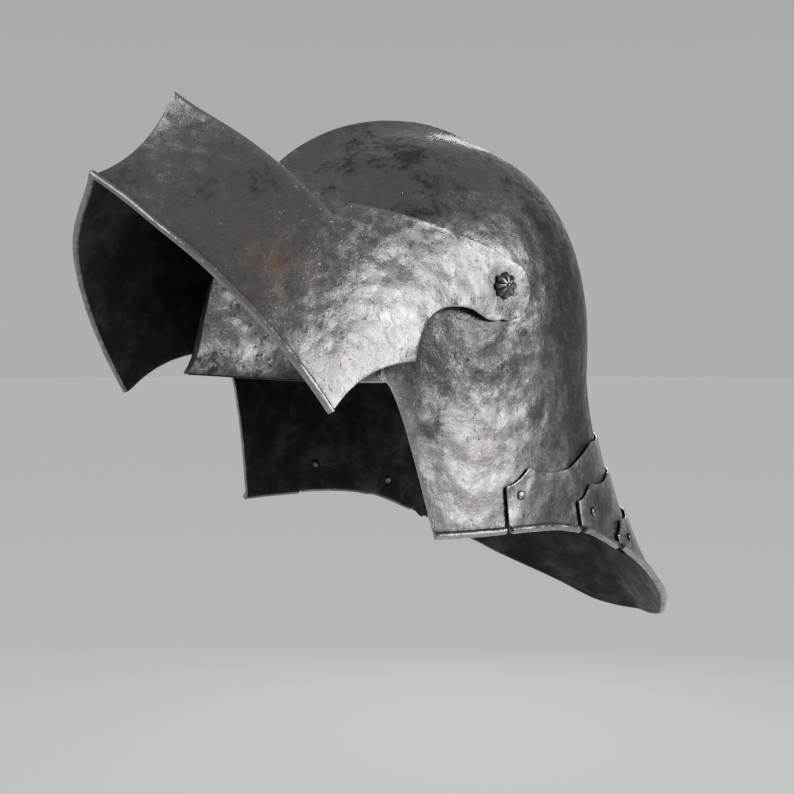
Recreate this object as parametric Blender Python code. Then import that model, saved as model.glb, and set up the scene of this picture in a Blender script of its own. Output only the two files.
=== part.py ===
"""Visored sallet helmet: keeled skull, raised pivoting visor and a tail of three riveted lames.

The helmet is worked out about its visor pivots: X is the wearer's left, -Y the way the face
looks and Z up. The finished pieces are then placed so that the origin is where the inside of
the crown sits on the head. Lengths are metres and angles are degrees.
"""
import math

import bmesh
import bpy
import numpy as np
from mathutils import Vector

# Skull: plan at brow level, height and plate.
SKULL_HALF_WIDTH = 0.1060
SKULL_FRONT = 0.1280
SKULL_BACK = 0.1180
BROW_LEVEL = -0.0505
TEMPLE_LEVEL = -0.0530
CROWN_LEVEL = 0.0930
CROWN_SET_BACK = 0.0100
SKULL_PLATE = 0.0020
FRONT_ROUNDNESS = 2.10
BACK_ROUNDNESS = 2.40
DOME_FRONT_FULLNESS = 2.30
DOME_SIDE_FULLNESS = 2.55
DOME_BACK_FULLNESS = 2.22

# Medial keel of the skull.
KEEL_HEIGHT = 0.0120
KEEL_SPREAD = 0.0130

# Flared lip over the sight.
LIP_FLARE = 0.0092
LIP_DEPTH = 0.0120
LIP_FADE_START = 35.0
LIP_FADE_END = 58.0
LIP_SIDE_SHARE = 0.6

# Face opening: where its back edge starts at the temple and ends at the rim.
TEMPLE_ANGLE = 52.5
CHEEK_ANGLE = 65.8

# Rim: half width at the cheeks, and the reach and level of the tail's end.
RIM_HALF_WIDTH = 0.1140
RIM_LEVEL = -0.1412
TAIL_REACH = 0.2075
TAIL_LEVEL = -0.2370
CHEEK_CURL = 1.25
CHEEK_BOW = 0.72
TAIL_CURL = 1.75
ROLL_RADIUS = 0.0022

# Tail lames.
LAME_PLATE = 0.0014
LAME_GAP = 0.0011
LAME_OVERLAP = 0.0150
LAME_END_GAP = 0.7
STEP_SPAN = 3.5
ROLL_TAPER = 1.0

# Visor, measured closed: its lower edge, sight edge and arm.
VISOR_PLATE = 0.0016
VISOR_LOWER_LEVEL = -0.1409
VISOR_SIGHT_LEVEL = -0.0690
VISOR_LOWER_HALF_WIDTH = 0.1250
VISOR_SIGHT_HALF_WIDTH = 0.1170
VISOR_LOWER_FRONT = 0.1455
VISOR_SIGHT_FRONT = 0.1560
VISOR_LOWER_KEEL = 0.0160
VISOR_SIGHT_KEEL = 0.0185
VISOR_KEEL_HOLLOW = 0.0085
VISOR_KEEL_SPREAD = 0.0200
VISOR_ROUNDNESS = 1.82
VISOR_NOSE_SHARE = 0.12
PROW_LIFT = 0.0060
PROW_LIFT_SPAN = 0.42
ARM_CURL = 1.40
VISOR_PIVOT_CLEARANCE = 0.0026
SIGHT_END = 0.0870
SIGHT_STEP = 0.0140
VISOR_RAISE = 57.0
ARM_END_RADIUS = 0.0163
ARM_END_SET_BACK = 0.0040
ARM_END_RISE = 0.0010
ARM_CROWN = 0.0065
ARM_TOP_TURN = 48.0
ARM_HEEL_TURN = 125.0
ARM_UNDER_TURN = 230.0
ARM_STRAIGHT = 0.75
ARM_ROUND = 0.40
ARM_FADE = 0.30

# Pivot bolts.
BOLT_HEAD_RADIUS = 0.0068
BOLT_HEAD_HEIGHT = 0.0045
BOLT_SHANK_RADIUS = 0.0030
BOLT_NUT_RADIUS = 0.0062
BOLT_NUT_HEIGHT = 0.0030
BOLT_FLUTES = 8
BOLT_FLUTE_DEPTH = 0.16
BOLT_SIDES = 16
BOLT_LAND = 4.5
HEAD_CLEARANCE = 0.0005

# Lame rivets.
RIVET_HEAD_RADIUS = 0.0027
RIVET_HEAD_HEIGHT = 0.0015
RIVET_SHANK_RADIUS = 0.0014
RIVET_BURR_RADIUS = 0.0023
RIVET_BURR_HEIGHT = 0.0009
RIVET_SIDES = 8
RIVET_LAND = 2.2

# Faces: rows and columns of the plates' grids, and steps round their edges.
DOME_ROWS = 11
SIDE_ROWS = 5
BROW_COLUMNS = 8
CHEEK_COLUMNS = 5
BACK_COLUMNS = 14
LAME_ROWS = 3
LAME_COLUMN_SPAN = 6.5
VISOR_ROWS = 6
SIGHT_COLUMNS = 10
ARM_COLUMNS = 8
ARM_ROWS = 8
EDGE_STEPS = 4
BOLT_DOME_STEPS = 3
RIVET_DOME_STEPS = 2
LEAST_COLUMN = 1.6
GATHERING = 1.6
SHARP_ANGLE = 40.0

# Running clearance between a shank and its hole, between touching faces, and how far a hole's
# cutter reaches either way.
HOLE_CLEARANCE = 0.0004
FACE_GAP = 0.0003
BORE_REACH = 0.0120

# Share of a domed head's height at its rim.
HEAD_RIM_SHARE = 0.25

# Steps over which the direction of a face is measured: degrees round, share of rise, metres up.
NORMAL_TURN = 0.05
NORMAL_RISE = 0.001
NORMAL_LEVEL = 0.002

# Rise above which the crown's outward direction turns straight up, and where it stops.
CROWN_TURN_START = 0.9
CROWN_TURN_END = 0.995
LOWEST_RISE = -1.2

# The wearer's left and right.
SIDES = ((1, "left"), (-1, "right"))

# Share of the full keel height along the mid-plane, from the brow over the crown to the tail.
KEEL_RUN = (
    # along, height
    (0.00, 0.75),
    (0.25, 1.00),
    (0.50, 1.00),
    (0.75, 0.60),
    (1.00, 0.30),
)

# Rim in plan: angle from the front, share of the tail's reach, share of its drop.
RIM_RUN = (
    # angle, reach, drop
    (50.0, 0.130, 0.000),
    (64.8, 0.050, 0.000),
    (80.0, 0.014, 0.000),
    (90.0, 0.000, 0.000),
    (104.8, 0.012, 0.010),
    (117.6, 0.093, 0.060),
    (130.0, 0.225, 0.200),
    (138.2, 0.340, 0.337),
    (149.0, 0.490, 0.517),
    (156.0, 0.625, 0.652),
    (164.0, 0.775, 0.798),
    (172.0, 0.930, 0.950),
    (180.0, 1.000, 1.000),
)

# Upper edges of the lames: angle, share of the cheek's height below the temple, and how far
# the span that follows hollows downward.
LAME_EDGES = (
    (
        # angle, down, hollow
        (88.9, 0.700, 0.020),
        (98.0, 0.593, 0.030),
        (116.6, 0.620, 0.000),
        (130.0, 0.480, 0.030),
        (180.0, 0.330, 0.000),
    ),
    (
        (117.0, 0.850, 0.020),
        (123.6, 0.750, 0.030),
        (138.0, 0.720, 0.020),
        (180.0, 0.620, 0.000),
    ),
    (
        (131.0, 1.130, 0.020),
        (135.0, 1.040, 0.020),
        (150.0, 1.030, 0.020),
        (180.0, 0.980, 0.000),
    ),
)

# Rivets of the lames: angle and share of the cheek's height below the temple.
LAME_RIVETS = (
    # angle, down
    (93.7, 0.757),
    (122.3, 0.930),
    (137.0, 1.170),
)

# Back edge of the visor, closed, from its pivot down: share of the lower edge's depth, share
# of the sight's length forward of the pivots, and how far the span that follows hollows.
VISOR_BACK_EDGE = (
    # down, forward, hollow
    (0.155, -0.040, 0.185),
    (0.576, 0.046, 0.075),
    (1.000, 0.162, 0.000),
)


def blend(low, high, share):
    """Value between low and high, share being 0 to 1."""
    return low + (high - low) * share


def ease(share):
    """Smooth step from 0 to 1."""
    share = np.clip(share, 0.0, 1.0)
    return share * share * (3.0 - 2.0 * share)


def follow(angles, run, column):
    """Smooth curve through one column of a table whose first column is ascending."""
    xs = np.array([row[0] for row in run])
    ys = np.array([row[column] for row in run])
    slope = np.diff(ys) / np.diff(xs)
    tangent = np.zeros_like(ys)
    inner = slope[:-1] * slope[1:] > 0
    tangent[1:-1][inner] = 2 * (slope[:-1] * slope[1:])[inner] / (slope[:-1] + slope[1:])[inner]
    tangent[0], tangent[-1] = slope[0], slope[-1]
    at = np.clip(angles, xs[0], xs[-1])
    k = np.clip(np.searchsorted(xs, at, side="right") - 1, 0, len(xs) - 2)
    span = xs[k + 1] - xs[k]
    t = (at - xs[k]) / span
    return ((1 + 2 * t) * (1 - t) ** 2 * ys[k] + t * (1 - t) ** 2 * span * tangent[k]
            + t * t * (3 - 2 * t) * ys[k + 1] + t * t * (t - 1) * span * tangent[k + 1])


def scallop(at, run, start, value, hollow):
    """Edge through a table of points whose spans sag by their hollow."""
    xs = np.array([row[start] for row in run])
    ys = np.array([row[value] for row in run])
    sag = np.array([row[hollow] for row in run])
    at = np.clip(at, xs[0], xs[-1])
    k = np.clip(np.searchsorted(xs, at, side="right") - 1, 0, len(xs) - 2)
    t = (at - xs[k]) / (xs[k + 1] - xs[k])
    return blend(ys[k], ys[k + 1], t) + sag[k] * 4 * t * (1 - t)


def heading(angle):
    """Unit vector in plan, 0 degrees to the front and 90 to the wearer's left."""
    turn = np.radians(angle)
    return np.stack([np.sin(turn), -np.cos(turn), np.zeros_like(turn)], -1)


def temple_level(angle):
    """Height of the line between the dome and the sides of the skull."""
    return blend(BROW_LEVEL, TEMPLE_LEVEL, ease(angle / TEMPLE_ANGLE))


def plan_radius(angle):
    """Distance of the skull from the pivots' mid point at brow level."""
    turn = np.radians(angle)
    fore = np.cos(turn)
    length = np.where(fore > 0, SKULL_FRONT, SKULL_BACK)
    power = blend(BACK_ROUNDNESS, FRONT_ROUNDNESS, ease((fore + 1) / 2))
    return ((np.abs(np.sin(turn)) / SKULL_HALF_WIDTH) ** power
            + (np.abs(fore) / length) ** power) ** (-1 / power)


def rim_radius(angle):
    """Distance of the rim from the pivots' mid point in plan."""
    return blend(RIM_HALF_WIDTH, TAIL_REACH, follow(angle, RIM_RUN, 1))


def rim_level(angle):
    """Height of the rim."""
    return blend(RIM_LEVEL, TAIL_LEVEL, follow(angle, RIM_RUN, 2))


def shell_base(angle, rise):
    """Point of the skull without keel and lip: rise 1 is the crown, 0 the brow, -1 the rim."""
    angle = np.asarray(angle, float)
    rise = np.asarray(rise, float)
    fore = np.cos(np.radians(angle))
    ends = np.where(fore > 0, DOME_FRONT_FULLNESS, DOME_BACK_FULLNESS)
    power = blend(DOME_SIDE_FULLNESS, ends, fore * fore)
    up = np.clip(rise, 0, 1) * math.pi / 2
    height = np.sin(up) ** (2 / power)
    inward = np.clip(np.cos(up), 0, 1) ** (2 / power)
    level = temple_level(angle)
    down = np.clip(-rise, 0, None)
    curl = blend(CHEEK_CURL, TAIL_CURL, ease((angle - TEMPLE_ANGLE) / (180 - TEMPLE_ANGLE)))
    near = plan_radius(angle)
    radius = near * inward + (rim_radius(angle) - near) * down ** curl
    place = radius[..., None] * heading(angle)
    place[..., 1] += CROWN_SET_BACK * height
    place[..., 2] = level + (CROWN_LEVEL - level) * height + (rim_level(angle) - level) * down
    return place


def shell_normal(angle, rise):
    """Outward direction of the skull without keel and lip."""
    low = np.clip(rise - NORMAL_RISE, LOWEST_RISE, CROWN_TURN_END)
    middle = low + NORMAL_RISE
    across = shell_base(angle + NORMAL_TURN, middle) - shell_base(angle - NORMAL_TURN, middle)
    upward = shell_base(angle, middle + NORMAL_RISE) - shell_base(angle, low)
    normal = np.cross(across, upward)
    normal /= np.linalg.norm(normal, axis=-1, keepdims=True)
    top = ease((np.asarray(rise) - CROWN_TURN_START) / (1 - CROWN_TURN_START))[..., None]
    normal = normal * (1 - top) + np.array([0.0, 0.0, 1.0]) * top
    normal[..., 0] = np.where(np.abs(np.sin(np.radians(angle))) < 1e-9, 0.0, normal[..., 0])
    return normal / np.linalg.norm(normal, axis=-1, keepdims=True)


def shell(angle, rise, lift=0.0):
    """Outer face of the skull, or a face lifted off it, with its outward direction."""
    angle = np.asarray(angle, float)
    rise = np.asarray(rise, float)
    place = shell_base(angle, rise)
    normal = shell_normal(angle, rise)
    along = 0.5 - 0.5 * (1 - np.clip(rise, 0, 1)) * np.cos(np.radians(angle))
    keel = KEEL_HEIGHT * follow(along, KEEL_RUN, 1)
    keel = keel * np.exp(-np.abs(place[..., 0]) / KEEL_SPREAD)
    reach = np.abs(place[..., 2] - temple_level(angle))
    fade = 1 - ease((angle - LIP_FADE_START) / (LIP_FADE_END - LIP_FADE_START))
    lip = LIP_FLARE * fade * blend(1.0, LIP_SIDE_SHARE, np.clip(angle / LIP_FADE_START, 0, 1))
    lip = lip * np.exp(-reach / LIP_DEPTH)
    place = place + (keel + lift)[..., None] * normal + lip[..., None] * heading(angle)
    return place, normal


def rise_at(angle, level):
    """Rise on the skull's sides whose height is level."""
    top = temple_level(angle)
    return -(top - level) / (top - rim_level(angle))


def edge_level(angle, lame):
    """Height of a lame's upper edge."""
    down = scallop(angle, LAME_EDGES[lame], 0, 1, 2)
    return TEMPLE_LEVEL - down * (TEMPLE_LEVEL - RIM_LEVEL)


def lame_start(lame):
    """Angle at which a lame's side ends start."""
    return LAME_EDGES[lame][0][0]


def lower_rise(angle, covering):
    """Lower edge of a plate: the rolled rim, then an edge hidden under the covering lame."""
    rim = -1 + 2 * ROLL_RADIUS / (temple_level(angle) - rim_level(angle))
    if covering is None:
        return rim, np.ones_like(angle)
    step = ease((angle - lame_start(covering) + LAME_END_GAP) / STEP_SPAN)
    hidden = rise_at(angle, edge_level(angle, covering) - LAME_OVERLAP)
    rolled = (angle <= lame_start(covering) - LAME_END_GAP - ROLL_TAPER + 1e-6).astype(float)
    return blend(rim, hidden, step), rolled


class Plate:
    """Half a plate's outer face as points and quads, to be mirrored and given its thickness."""

    def __init__(self):
        """Start empty."""
        self.points = []
        self.normals = []
        self.rolls = []
        self.quads = []

    def add(self, place, normal, roll=0.0):
        """Add a point and return its number."""
        self.points.append(np.array(place, float))
        self.normals.append(np.array(normal, float))
        self.rolls.append(roll)
        return len(self.points) - 1

    def grid(self, rows):
        """Join rows of point numbers, each row below the last, by quads facing outward."""
        for upper, lower in zip(rows[:-1], rows[1:]):
            for a, b, c, d in zip(upper[:-1], upper[1:], lower[1:], lower[:-1]):
                self.quads.append([d, c, b, a])

    def whole(self):
        """Points, normals, rolls and faces of both halves."""
        points = list(self.points)
        normals = list(self.normals)
        rolls = list(self.rolls)
        twin = []
        for k, place in enumerate(self.points):
            if abs(place[0]) < 1e-7:
                points[k][0] = 0.0
                normals[k][0] = 0.0
                twin.append(k)
                continue
            twin.append(len(points))
            points.append(place * (-1, 1, 1))
            normals.append(self.normals[k] * (-1, 1, 1))
            rolls.append(self.rolls[k])
        faces = list(self.quads) + [[twin[k] for k in reversed(quad)] for quad in self.quads]
        return points, normals, rolls, faces


def boundary_loops(faces):
    """Boundary of a face list as ordered loops, running against the faces."""
    used = set()
    for face in faces:
        used.update(zip(face, face[1:] + face[:1]))
    after = {b: a for a, b in used if (b, a) not in used}
    loops = []
    while after:
        start = next(iter(after))
        loop = [start]
        while True:
            step = after.pop(loop[-1])
            if step == start:
                break
            loop.append(step)
        loops.append(loop)
    return loops


def thicken(plate, thickness, steps):
    """Closed body of a plate: outer face, inner face and rounded or rolled edges."""
    points, normals, rolls, faces = plate.whole()
    faces = [[k for n, k in enumerate(face) if k != face[n - 1]] for face in faces]
    faces = [face for face in faces if len(face) > 2]
    count = len(points)
    points = points + [p - thickness * n for p, n in zip(points, normals)]
    faces_all = faces + [[k + count for k in reversed(face)] for face in faces]
    for loop in boundary_loops(faces):
        rings = []
        for n, k in enumerate(loop):
            tangent = points[loop[(n + 1) % len(loop)]] - points[loop[n - 1]]
            outward = np.cross(normals[k], tangent)
            outward /= np.linalg.norm(outward)
            radius = max(rolls[k], thickness / 2)
            first = math.pi - math.asin((thickness - radius) / radius)
            centre = points[k] - radius * (math.cos(first) * outward + math.sin(first) * normals[k])
            ring = [k]
            for turn in np.linspace(first, -math.pi / 2, steps + 1)[1:]:
                if turn < -math.pi / 2 + 1e-9 and radius < thickness * 0.501:
                    continue
                place = centre + radius * (math.cos(turn) * outward + math.sin(turn) * normals[k])
                if abs(points[k][0]) < 1e-9:
                    place[0] = 0.0
                points.append(place)
                ring.append(len(points) - 1)
            while len(ring) < steps + 1:
                ring.append(k + count)
            ring.append(k + count)
            rings.append(ring)
        for ring, following in zip(rings, rings[1:] + rings[:1]):
            for n in range(steps + 1):
                face = [ring[n], following[n], following[n + 1], ring[n + 1]]
                face = [k for m, k in enumerate(face) if k != face[m - 1]]
                if len(face) > 2:
                    faces_all.append(face)
    return points, faces_all


def material(name, colour, roughness):
    """Aged steel of one shade."""
    made = bpy.data.materials.new(name)
    made.use_nodes = True
    shader = made.node_tree.nodes["Principled BSDF"]
    shader.inputs["Base Color"].default_value = (*colour, 1)
    shader.inputs["Metallic"].default_value = 0.9
    shader.inputs["Roughness"].default_value = roughness
    return made


def solid(name, points, faces, finish, place, turn=0.0):
    """Object of one closed mesh, triangulated, smooth apart from its sharp edges."""
    mesh = bpy.data.meshes.new(name)
    mesh.from_pydata([tuple(p) for p in points], [], faces)
    work = bmesh.new()
    work.from_mesh(mesh)
    loose = [vert for vert in work.verts if not vert.link_faces]
    bmesh.ops.delete(work, geom=loose, context="VERTS")
    bmesh.ops.triangulate(work, faces=work.faces, quad_method="SHORT_EDGE")
    if work.calc_volume(signed=True) < 0:
        bmesh.ops.reverse_faces(work, faces=work.faces)
    work.to_mesh(mesh)
    work.free()
    mesh.shade_smooth()
    mesh.set_sharp_from_angle(angle=math.radians(SHARP_ANGLE))
    mesh.materials.append(finish)
    made = bpy.data.objects.new(name, mesh)
    made.location = place
    made.rotation_euler.x = math.radians(turn)
    bpy.context.collection.objects.link(made)
    return made


def ring_faces(rings, sides):
    """Faces between rings of point numbers, a ring of one number being a point."""
    faces = []
    for low, high in zip(rings[:-1], rings[1:]):
        for k in range(sides):
            m = (k + 1) % sides
            face = [low[k % len(low)], low[m % len(low)], high[m % len(high)], high[k % len(high)]]
            face = [v for n, v in enumerate(face) if v != face[n - 1]]
            if len(face) > 2:
                faces.append(face)
    return faces


def turned(profile, sides):
    """Points and faces of a body turned about X through (radius, along) pairs."""
    points = []
    rings = []
    for radius, along in profile:
        count = sides if radius > 0 else 1
        turns = [2 * math.pi * k / count for k in range(count)]
        rings.append([len(points) + k for k in range(count)])
        points += [(along, radius * math.cos(t), radius * math.sin(t)) for t in turns]
    return points, ring_faces(rings, sides)


def bore(target, centre, direction, radius, sides, name):
    """Cut a hole through a plate at a point given in the plate's own frame at rest."""
    profile = ((0, -BORE_REACH), (radius, -BORE_REACH), (radius, BORE_REACH), (0, BORE_REACH))
    points, faces = turned(profile, sides)
    tool = solid(name, aimed(points, centre, direction), faces, target.data.materials[0], (0, 0, 0))
    tool.parent = target
    tool.hide_render = True
    tool.display_type = "WIRE"
    cut = target.modifiers.new(name, "BOOLEAN")
    cut.operation = "DIFFERENCE"
    cut.solver = "EXACT"
    cut.object = tool


def spread(low, high, count, gather_low=False, gather_high=False):
    """Values from low to high, gathered towards an end where asked."""
    t = np.linspace(0, 1, count + 1)
    if gather_low:
        t = t ** GATHERING
    elif gather_high:
        t = 1 - (1 - t) ** GATHERING
    return blend(low, high, t)


def with_columns(angles, wanted):
    """Ascending angles with the wanted ones added and those too near a wanted one dropped."""
    wanted = np.array(wanted)
    ends = (angles[0], angles[-1])
    clear = [a for a in angles if a in ends or np.min(np.abs(wanted - a)) > LEAST_COLUMN]
    return np.unique(np.concatenate([clear, wanted]))


def cheek_edge(depth):
    """Angle of the face opening's back edge at a depth below the temple."""
    return blend(TEMPLE_ANGLE, CHEEK_ANGLE, np.abs(depth) ** CHEEK_BOW)


def rim_column(angle, depth):
    """Angle at the rim of the skull's column that passes through an angle at a depth."""
    edge = float(cheek_edge(depth))
    return blend(CHEEK_ANGLE, 180, (angle - edge) / (180 - edge))


def skull_plate():
    """Outer face of the left half of the skull."""
    plate = Plate()
    front = spread(0, TEMPLE_ANGLE, BROW_COLUMNS, gather_low=True)[:-1]
    step = lame_start(0) - LAME_END_GAP
    rivet_angle, rivet_down = LAME_RIVETS[0]
    lower = with_columns(np.concatenate([
        spread(CHEEK_ANGLE, step - ROLL_TAPER, CHEEK_COLUMNS),
        spread(step + STEP_SPAN, 180, BACK_COLUMNS, gather_high=True),
    ]), [
        rim_column(90 - BOLT_LAND, 0), rim_column(90 + BOLT_LAND, 0),
        rim_column(rivet_angle - RIVET_LAND, rivet_down), step - ROLL_TAPER, step,
        rim_column(rivet_angle + RIVET_LAND, rivet_down), step + STEP_SPAN,
    ])
    share = (lower - CHEEK_ANGLE) / (180 - CHEEK_ANGLE)
    ring = np.concatenate([front, blend(TEMPLE_ANGLE, 180, share)])
    rises = np.linspace(1, 0, DOME_ROWS + 1)
    place, normal = shell(np.zeros(1), np.ones(1))
    crown = plate.add(place[0], normal[0])
    rows = [[crown] * len(ring)]
    for rise in rises[1:]:
        place, normal = shell(ring, np.full_like(ring, rise))
        rows.append([plate.add(p, n) for p, n in zip(place, normal)])
    plate.grid(rows)
    behind = [rows[-1][len(front):]]
    bottom, rolled = lower_rise(lower, 0)
    for level in range(1, SIDE_ROWS + 1):
        depth = bottom * level / SIDE_ROWS
        edge = cheek_edge(depth)
        angle = blend(edge, 180, share)
        place, normal = shell(angle, depth)
        roll = ROLL_RADIUS * rolled * (level == SIDE_ROWS)
        behind.append([plate.add(p, n, r) for p, n, r in zip(place, normal, roll)])
    plate.grid(behind)
    return plate


def lame_plate(lame):
    """Outer face of the left half of a tail lame."""
    plate = Plate()
    covering = lame + 1 if lame + 1 < len(LAME_EDGES) else None
    corners = [row[0] for row in LAME_EDGES[lame]]
    angles = [np.array(corners[:1])]
    for low, high in zip(corners[:-1], corners[1:]):
        angles.append(spread(low, high, max(2, round((high - low) / LAME_COLUMN_SPAN)))[1:])
    angles = np.concatenate(angles)
    wanted = [LAME_RIVETS[lame][0] - RIVET_LAND, LAME_RIVETS[lame][0] + RIVET_LAND]
    if covering is not None:
        step = lame_start(covering) - LAME_END_GAP
        under = LAME_RIVETS[covering][0]
        wanted += [step - ROLL_TAPER, step, step + STEP_SPAN]
        wanted += [under - RIVET_LAND, under + RIVET_LAND]
    angles = with_columns(angles, wanted)
    top = rise_at(angles, edge_level(angles, lame))
    bottom, rolled = lower_rise(angles, covering)
    lift = lame_lift(lame)
    rows = []
    for level in range(LAME_ROWS + 1):
        depth = blend(top, bottom, level / LAME_ROWS)
        place, normal = shell(angles, depth, np.full_like(angles, lift))
        roll = ROLL_RADIUS * rolled * (level == LAME_ROWS)
        rows.append([plate.add(p, n, r) for p, n, r in zip(place, normal, roll)])
    plate.grid(rows)
    return plate


def dome_rise(angle, level):
    """Rise on the skull's dome whose height is level."""
    fore = math.cos(math.radians(angle))
    ends = DOME_FRONT_FULLNESS if fore > 0 else DOME_BACK_FULLNESS
    power = blend(DOME_SIDE_FULLNESS, ends, fore * fore)
    foot = float(temple_level(angle))
    return math.asin(((level - foot) / (CROWN_LEVEL - foot)) ** (power / 2)) * 2 / math.pi


def skull_side(level):
    """Half width of the skull's outer face over the pivots at a height above the temples."""
    place, _ = shell(np.array([90.0]), np.array([dome_rise(90.0, level)]))
    return float(place[0][0])


def visor_pivot_half_width():
    """Half width of the visor's outer face at its pivots."""
    return skull_side(0.0) + VISOR_PIVOT_CLEARANCE + VISOR_PLATE


def visor_shape(level):
    """Half width, front and keel of the closed visor at a height."""
    up = (level - VISOR_LOWER_LEVEL) / (VISOR_SIGHT_LEVEL - VISOR_LOWER_LEVEL)
    band = np.clip(up, 0, 1)
    arm = np.clip(level / VISOR_SIGHT_LEVEL, 0, 1)
    half = np.where(
        up < 1,
        blend(VISOR_LOWER_HALF_WIDTH, VISOR_SIGHT_HALF_WIDTH, band),
        blend(visor_pivot_half_width(), VISOR_SIGHT_HALF_WIDTH, arm ** ARM_CURL))
    front = blend(VISOR_LOWER_FRONT, VISOR_SIGHT_FRONT, band)
    keel = blend(VISOR_LOWER_KEEL, VISOR_SIGHT_KEEL, band)
    keel = keel - VISOR_KEEL_HOLLOW * 4 * band * (1 - band)
    return half, front, keel


def visor_side(forward, level):
    """Half width of the closed visor at a distance forward of its pivots and a height."""
    half, front, _ = visor_shape(level)
    return half * (1 - np.clip(forward / front, 0, 1) ** VISOR_ROUNDNESS) ** (1 / VISOR_ROUNDNESS)


def visor_prow(turn, level):
    """Point of the closed visor's front, turn 0 at the prow and a quarter circle at the side."""
    half, front, keel = visor_shape(level)
    x = half * np.sin(turn) ** (2 / VISOR_ROUNDNESS)
    forward = front * np.clip(np.cos(turn), 0, 1) ** (2 / VISOR_ROUNDNESS)
    forward = forward + keel * np.exp(-x / VISOR_KEEL_SPREAD)
    return np.stack([x, -forward, level + 0 * x], -1)


def visor_back(level):
    """Distance forward of the pivots of the visor's back edge at a height."""
    down = level / VISOR_LOWER_LEVEL
    return float(scallop(down, VISOR_BACK_EDGE, 0, 1, 2)) * SIGHT_END


def arm_end(turn):
    """Point of the visor arm's round end: forward of the pivots, and height."""
    turn = math.radians(turn)
    return np.array([ARM_END_RADIUS * math.cos(turn) - ARM_END_SET_BACK,
                     ARM_END_RADIUS * math.sin(turn) + ARM_END_RISE])


def visor_plate():
    """Outer face of the left half of the closed visor."""
    plate = Plate()
    levels = np.linspace(VISOR_SIGHT_LEVEL, VISOR_LOWER_LEVEL, VISOR_ROWS + 1)
    sight_turn = math.acos((SIGHT_END / VISOR_SIGHT_FRONT) ** (VISOR_ROUNDNESS / 2))
    back_turn = math.acos((visor_back(VISOR_SIGHT_LEVEL) / VISOR_SIGHT_FRONT)
                          ** (VISOR_ROUNDNESS / 2))
    share = np.concatenate([
        spread(0, sight_turn / back_turn, SIGHT_COLUMNS, gather_low=True)[:-1],
        spread(sight_turn / back_turn, 1, ARM_COLUMNS),
    ])
    rows = []
    for level in levels:
        _, front, _ = visor_shape(level)
        end = math.acos((visor_back(level) / front) ** (VISOR_ROUNDNESS / 2))
        down = (VISOR_SIGHT_LEVEL - level) / (VISOR_SIGHT_LEVEL - VISOR_LOWER_LEVEL)
        lift = PROW_LIFT * down * (1 - ease(share / PROW_LIFT_SPAN))
        rows.append(visor_prow(share * end, level + lift))
    base = rows[0][SIGHT_COLUMNS:]
    corner = np.array([SIGHT_END, VISOR_SIGHT_LEVEL + SIGHT_STEP])
    upper = []
    for t in np.linspace(0, 1, ARM_COLUMNS + 1):
        if t < ARM_STRAIGHT:
            s = t / ARM_STRAIGHT
            crown = np.array([0, ARM_CROWN]) * 4 * s * (1 - s)
            upper.append(blend(corner, arm_end(ARM_TOP_TURN), s) + crown)
        else:
            turn = blend(ARM_TOP_TURN, ARM_HEEL_TURN, (t - ARM_STRAIGHT) / (1 - ARM_STRAIGHT))
            upper.append(arm_end(turn))
    upper = np.array(upper)
    under = arm_end(ARM_UNDER_TURN)
    side = []
    for t in np.linspace(0, 1, ARM_ROWS + 1):
        if t < ARM_ROUND:
            side.append(arm_end(blend(ARM_HEEL_TURN, ARM_UNDER_TURN, t / ARM_ROUND)))
        else:
            s = (t - ARM_ROUND) / (1 - ARM_ROUND)
            level = blend(under[1], VISOR_SIGHT_LEVEL, s)
            stray = under[0] - visor_back(under[1])
            forward = visor_back(level) + stray * (1 - ease(s / ARM_FADE))
            side.append(np.array([forward, level]))
    side = np.array(side)
    bottom = np.stack([-base[:, 1], base[:, 2]], -1)
    left = np.stack([np.full(ARM_ROWS + 1, SIGHT_END),
                     np.linspace(corner[1], VISOR_SIGHT_LEVEL, ARM_ROWS + 1)], -1)
    left[-1, 0] = bottom[0, 0]
    numbers = []
    arm = []
    for r, v in enumerate(np.linspace(0, 1, ARM_ROWS + 1)[:-1]):
        row = []
        for c, u in enumerate(np.linspace(0, 1, ARM_COLUMNS + 1)):
            flat = (blend(left[r], side[r], u) + blend(upper[c], bottom[c], v)
                    - blend(blend(upper[0], upper[-1], u), blend(bottom[0], bottom[-1], u), v))
            x = float(visor_side(max(flat[0], 0.0), flat[1]))
            row.append(np.array([x, -flat[0], flat[1]]))
        arm.append(row)
    for row in arm:
        numbers.append([plate.add(p, visor_normal(p)) for p in row])
    band = []
    for k, row in enumerate(rows):
        roll = ROLL_RADIUS if k == len(rows) - 1 else 0.0
        band.append([plate.add(p, visor_normal(p), roll) for p in row])
    plate.grid(band)
    plate.grid(numbers + [band[0][SIGHT_COLUMNS:]])
    return plate


def visor_normal(place):
    """Outward direction of the closed visor without its keel, near a point."""
    forward, level = max(-place[1], 0.0), place[2]
    half, front, _ = visor_shape(level)
    x = min(abs(place[0]) / half, 1.0)
    power = VISOR_ROUNDNESS
    across = max(x, 0.0) ** (power - 1) / half
    along = min(forward / front, 1.0) ** (power - 1) / front
    above, _, _ = visor_shape(level + NORMAL_LEVEL)
    below, _, _ = visor_shape(level - NORMAL_LEVEL)
    lift = float(above - below) / (2 * NORMAL_LEVEL)
    soften = min(x / VISOR_NOSE_SHARE, 1.0)
    normal = np.array([across * soften, -along, -lift * across * soften])
    return normal / np.linalg.norm(normal)


def aimed(points, spot, direction):
    """Points of a body turned about X, moved to a spot and aimed along a direction."""
    turn = Vector((1, 0, 0)).rotation_difference(Vector(direction)).to_matrix()
    return [Vector(spot) + turn @ Vector(point) for point in points]


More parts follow.
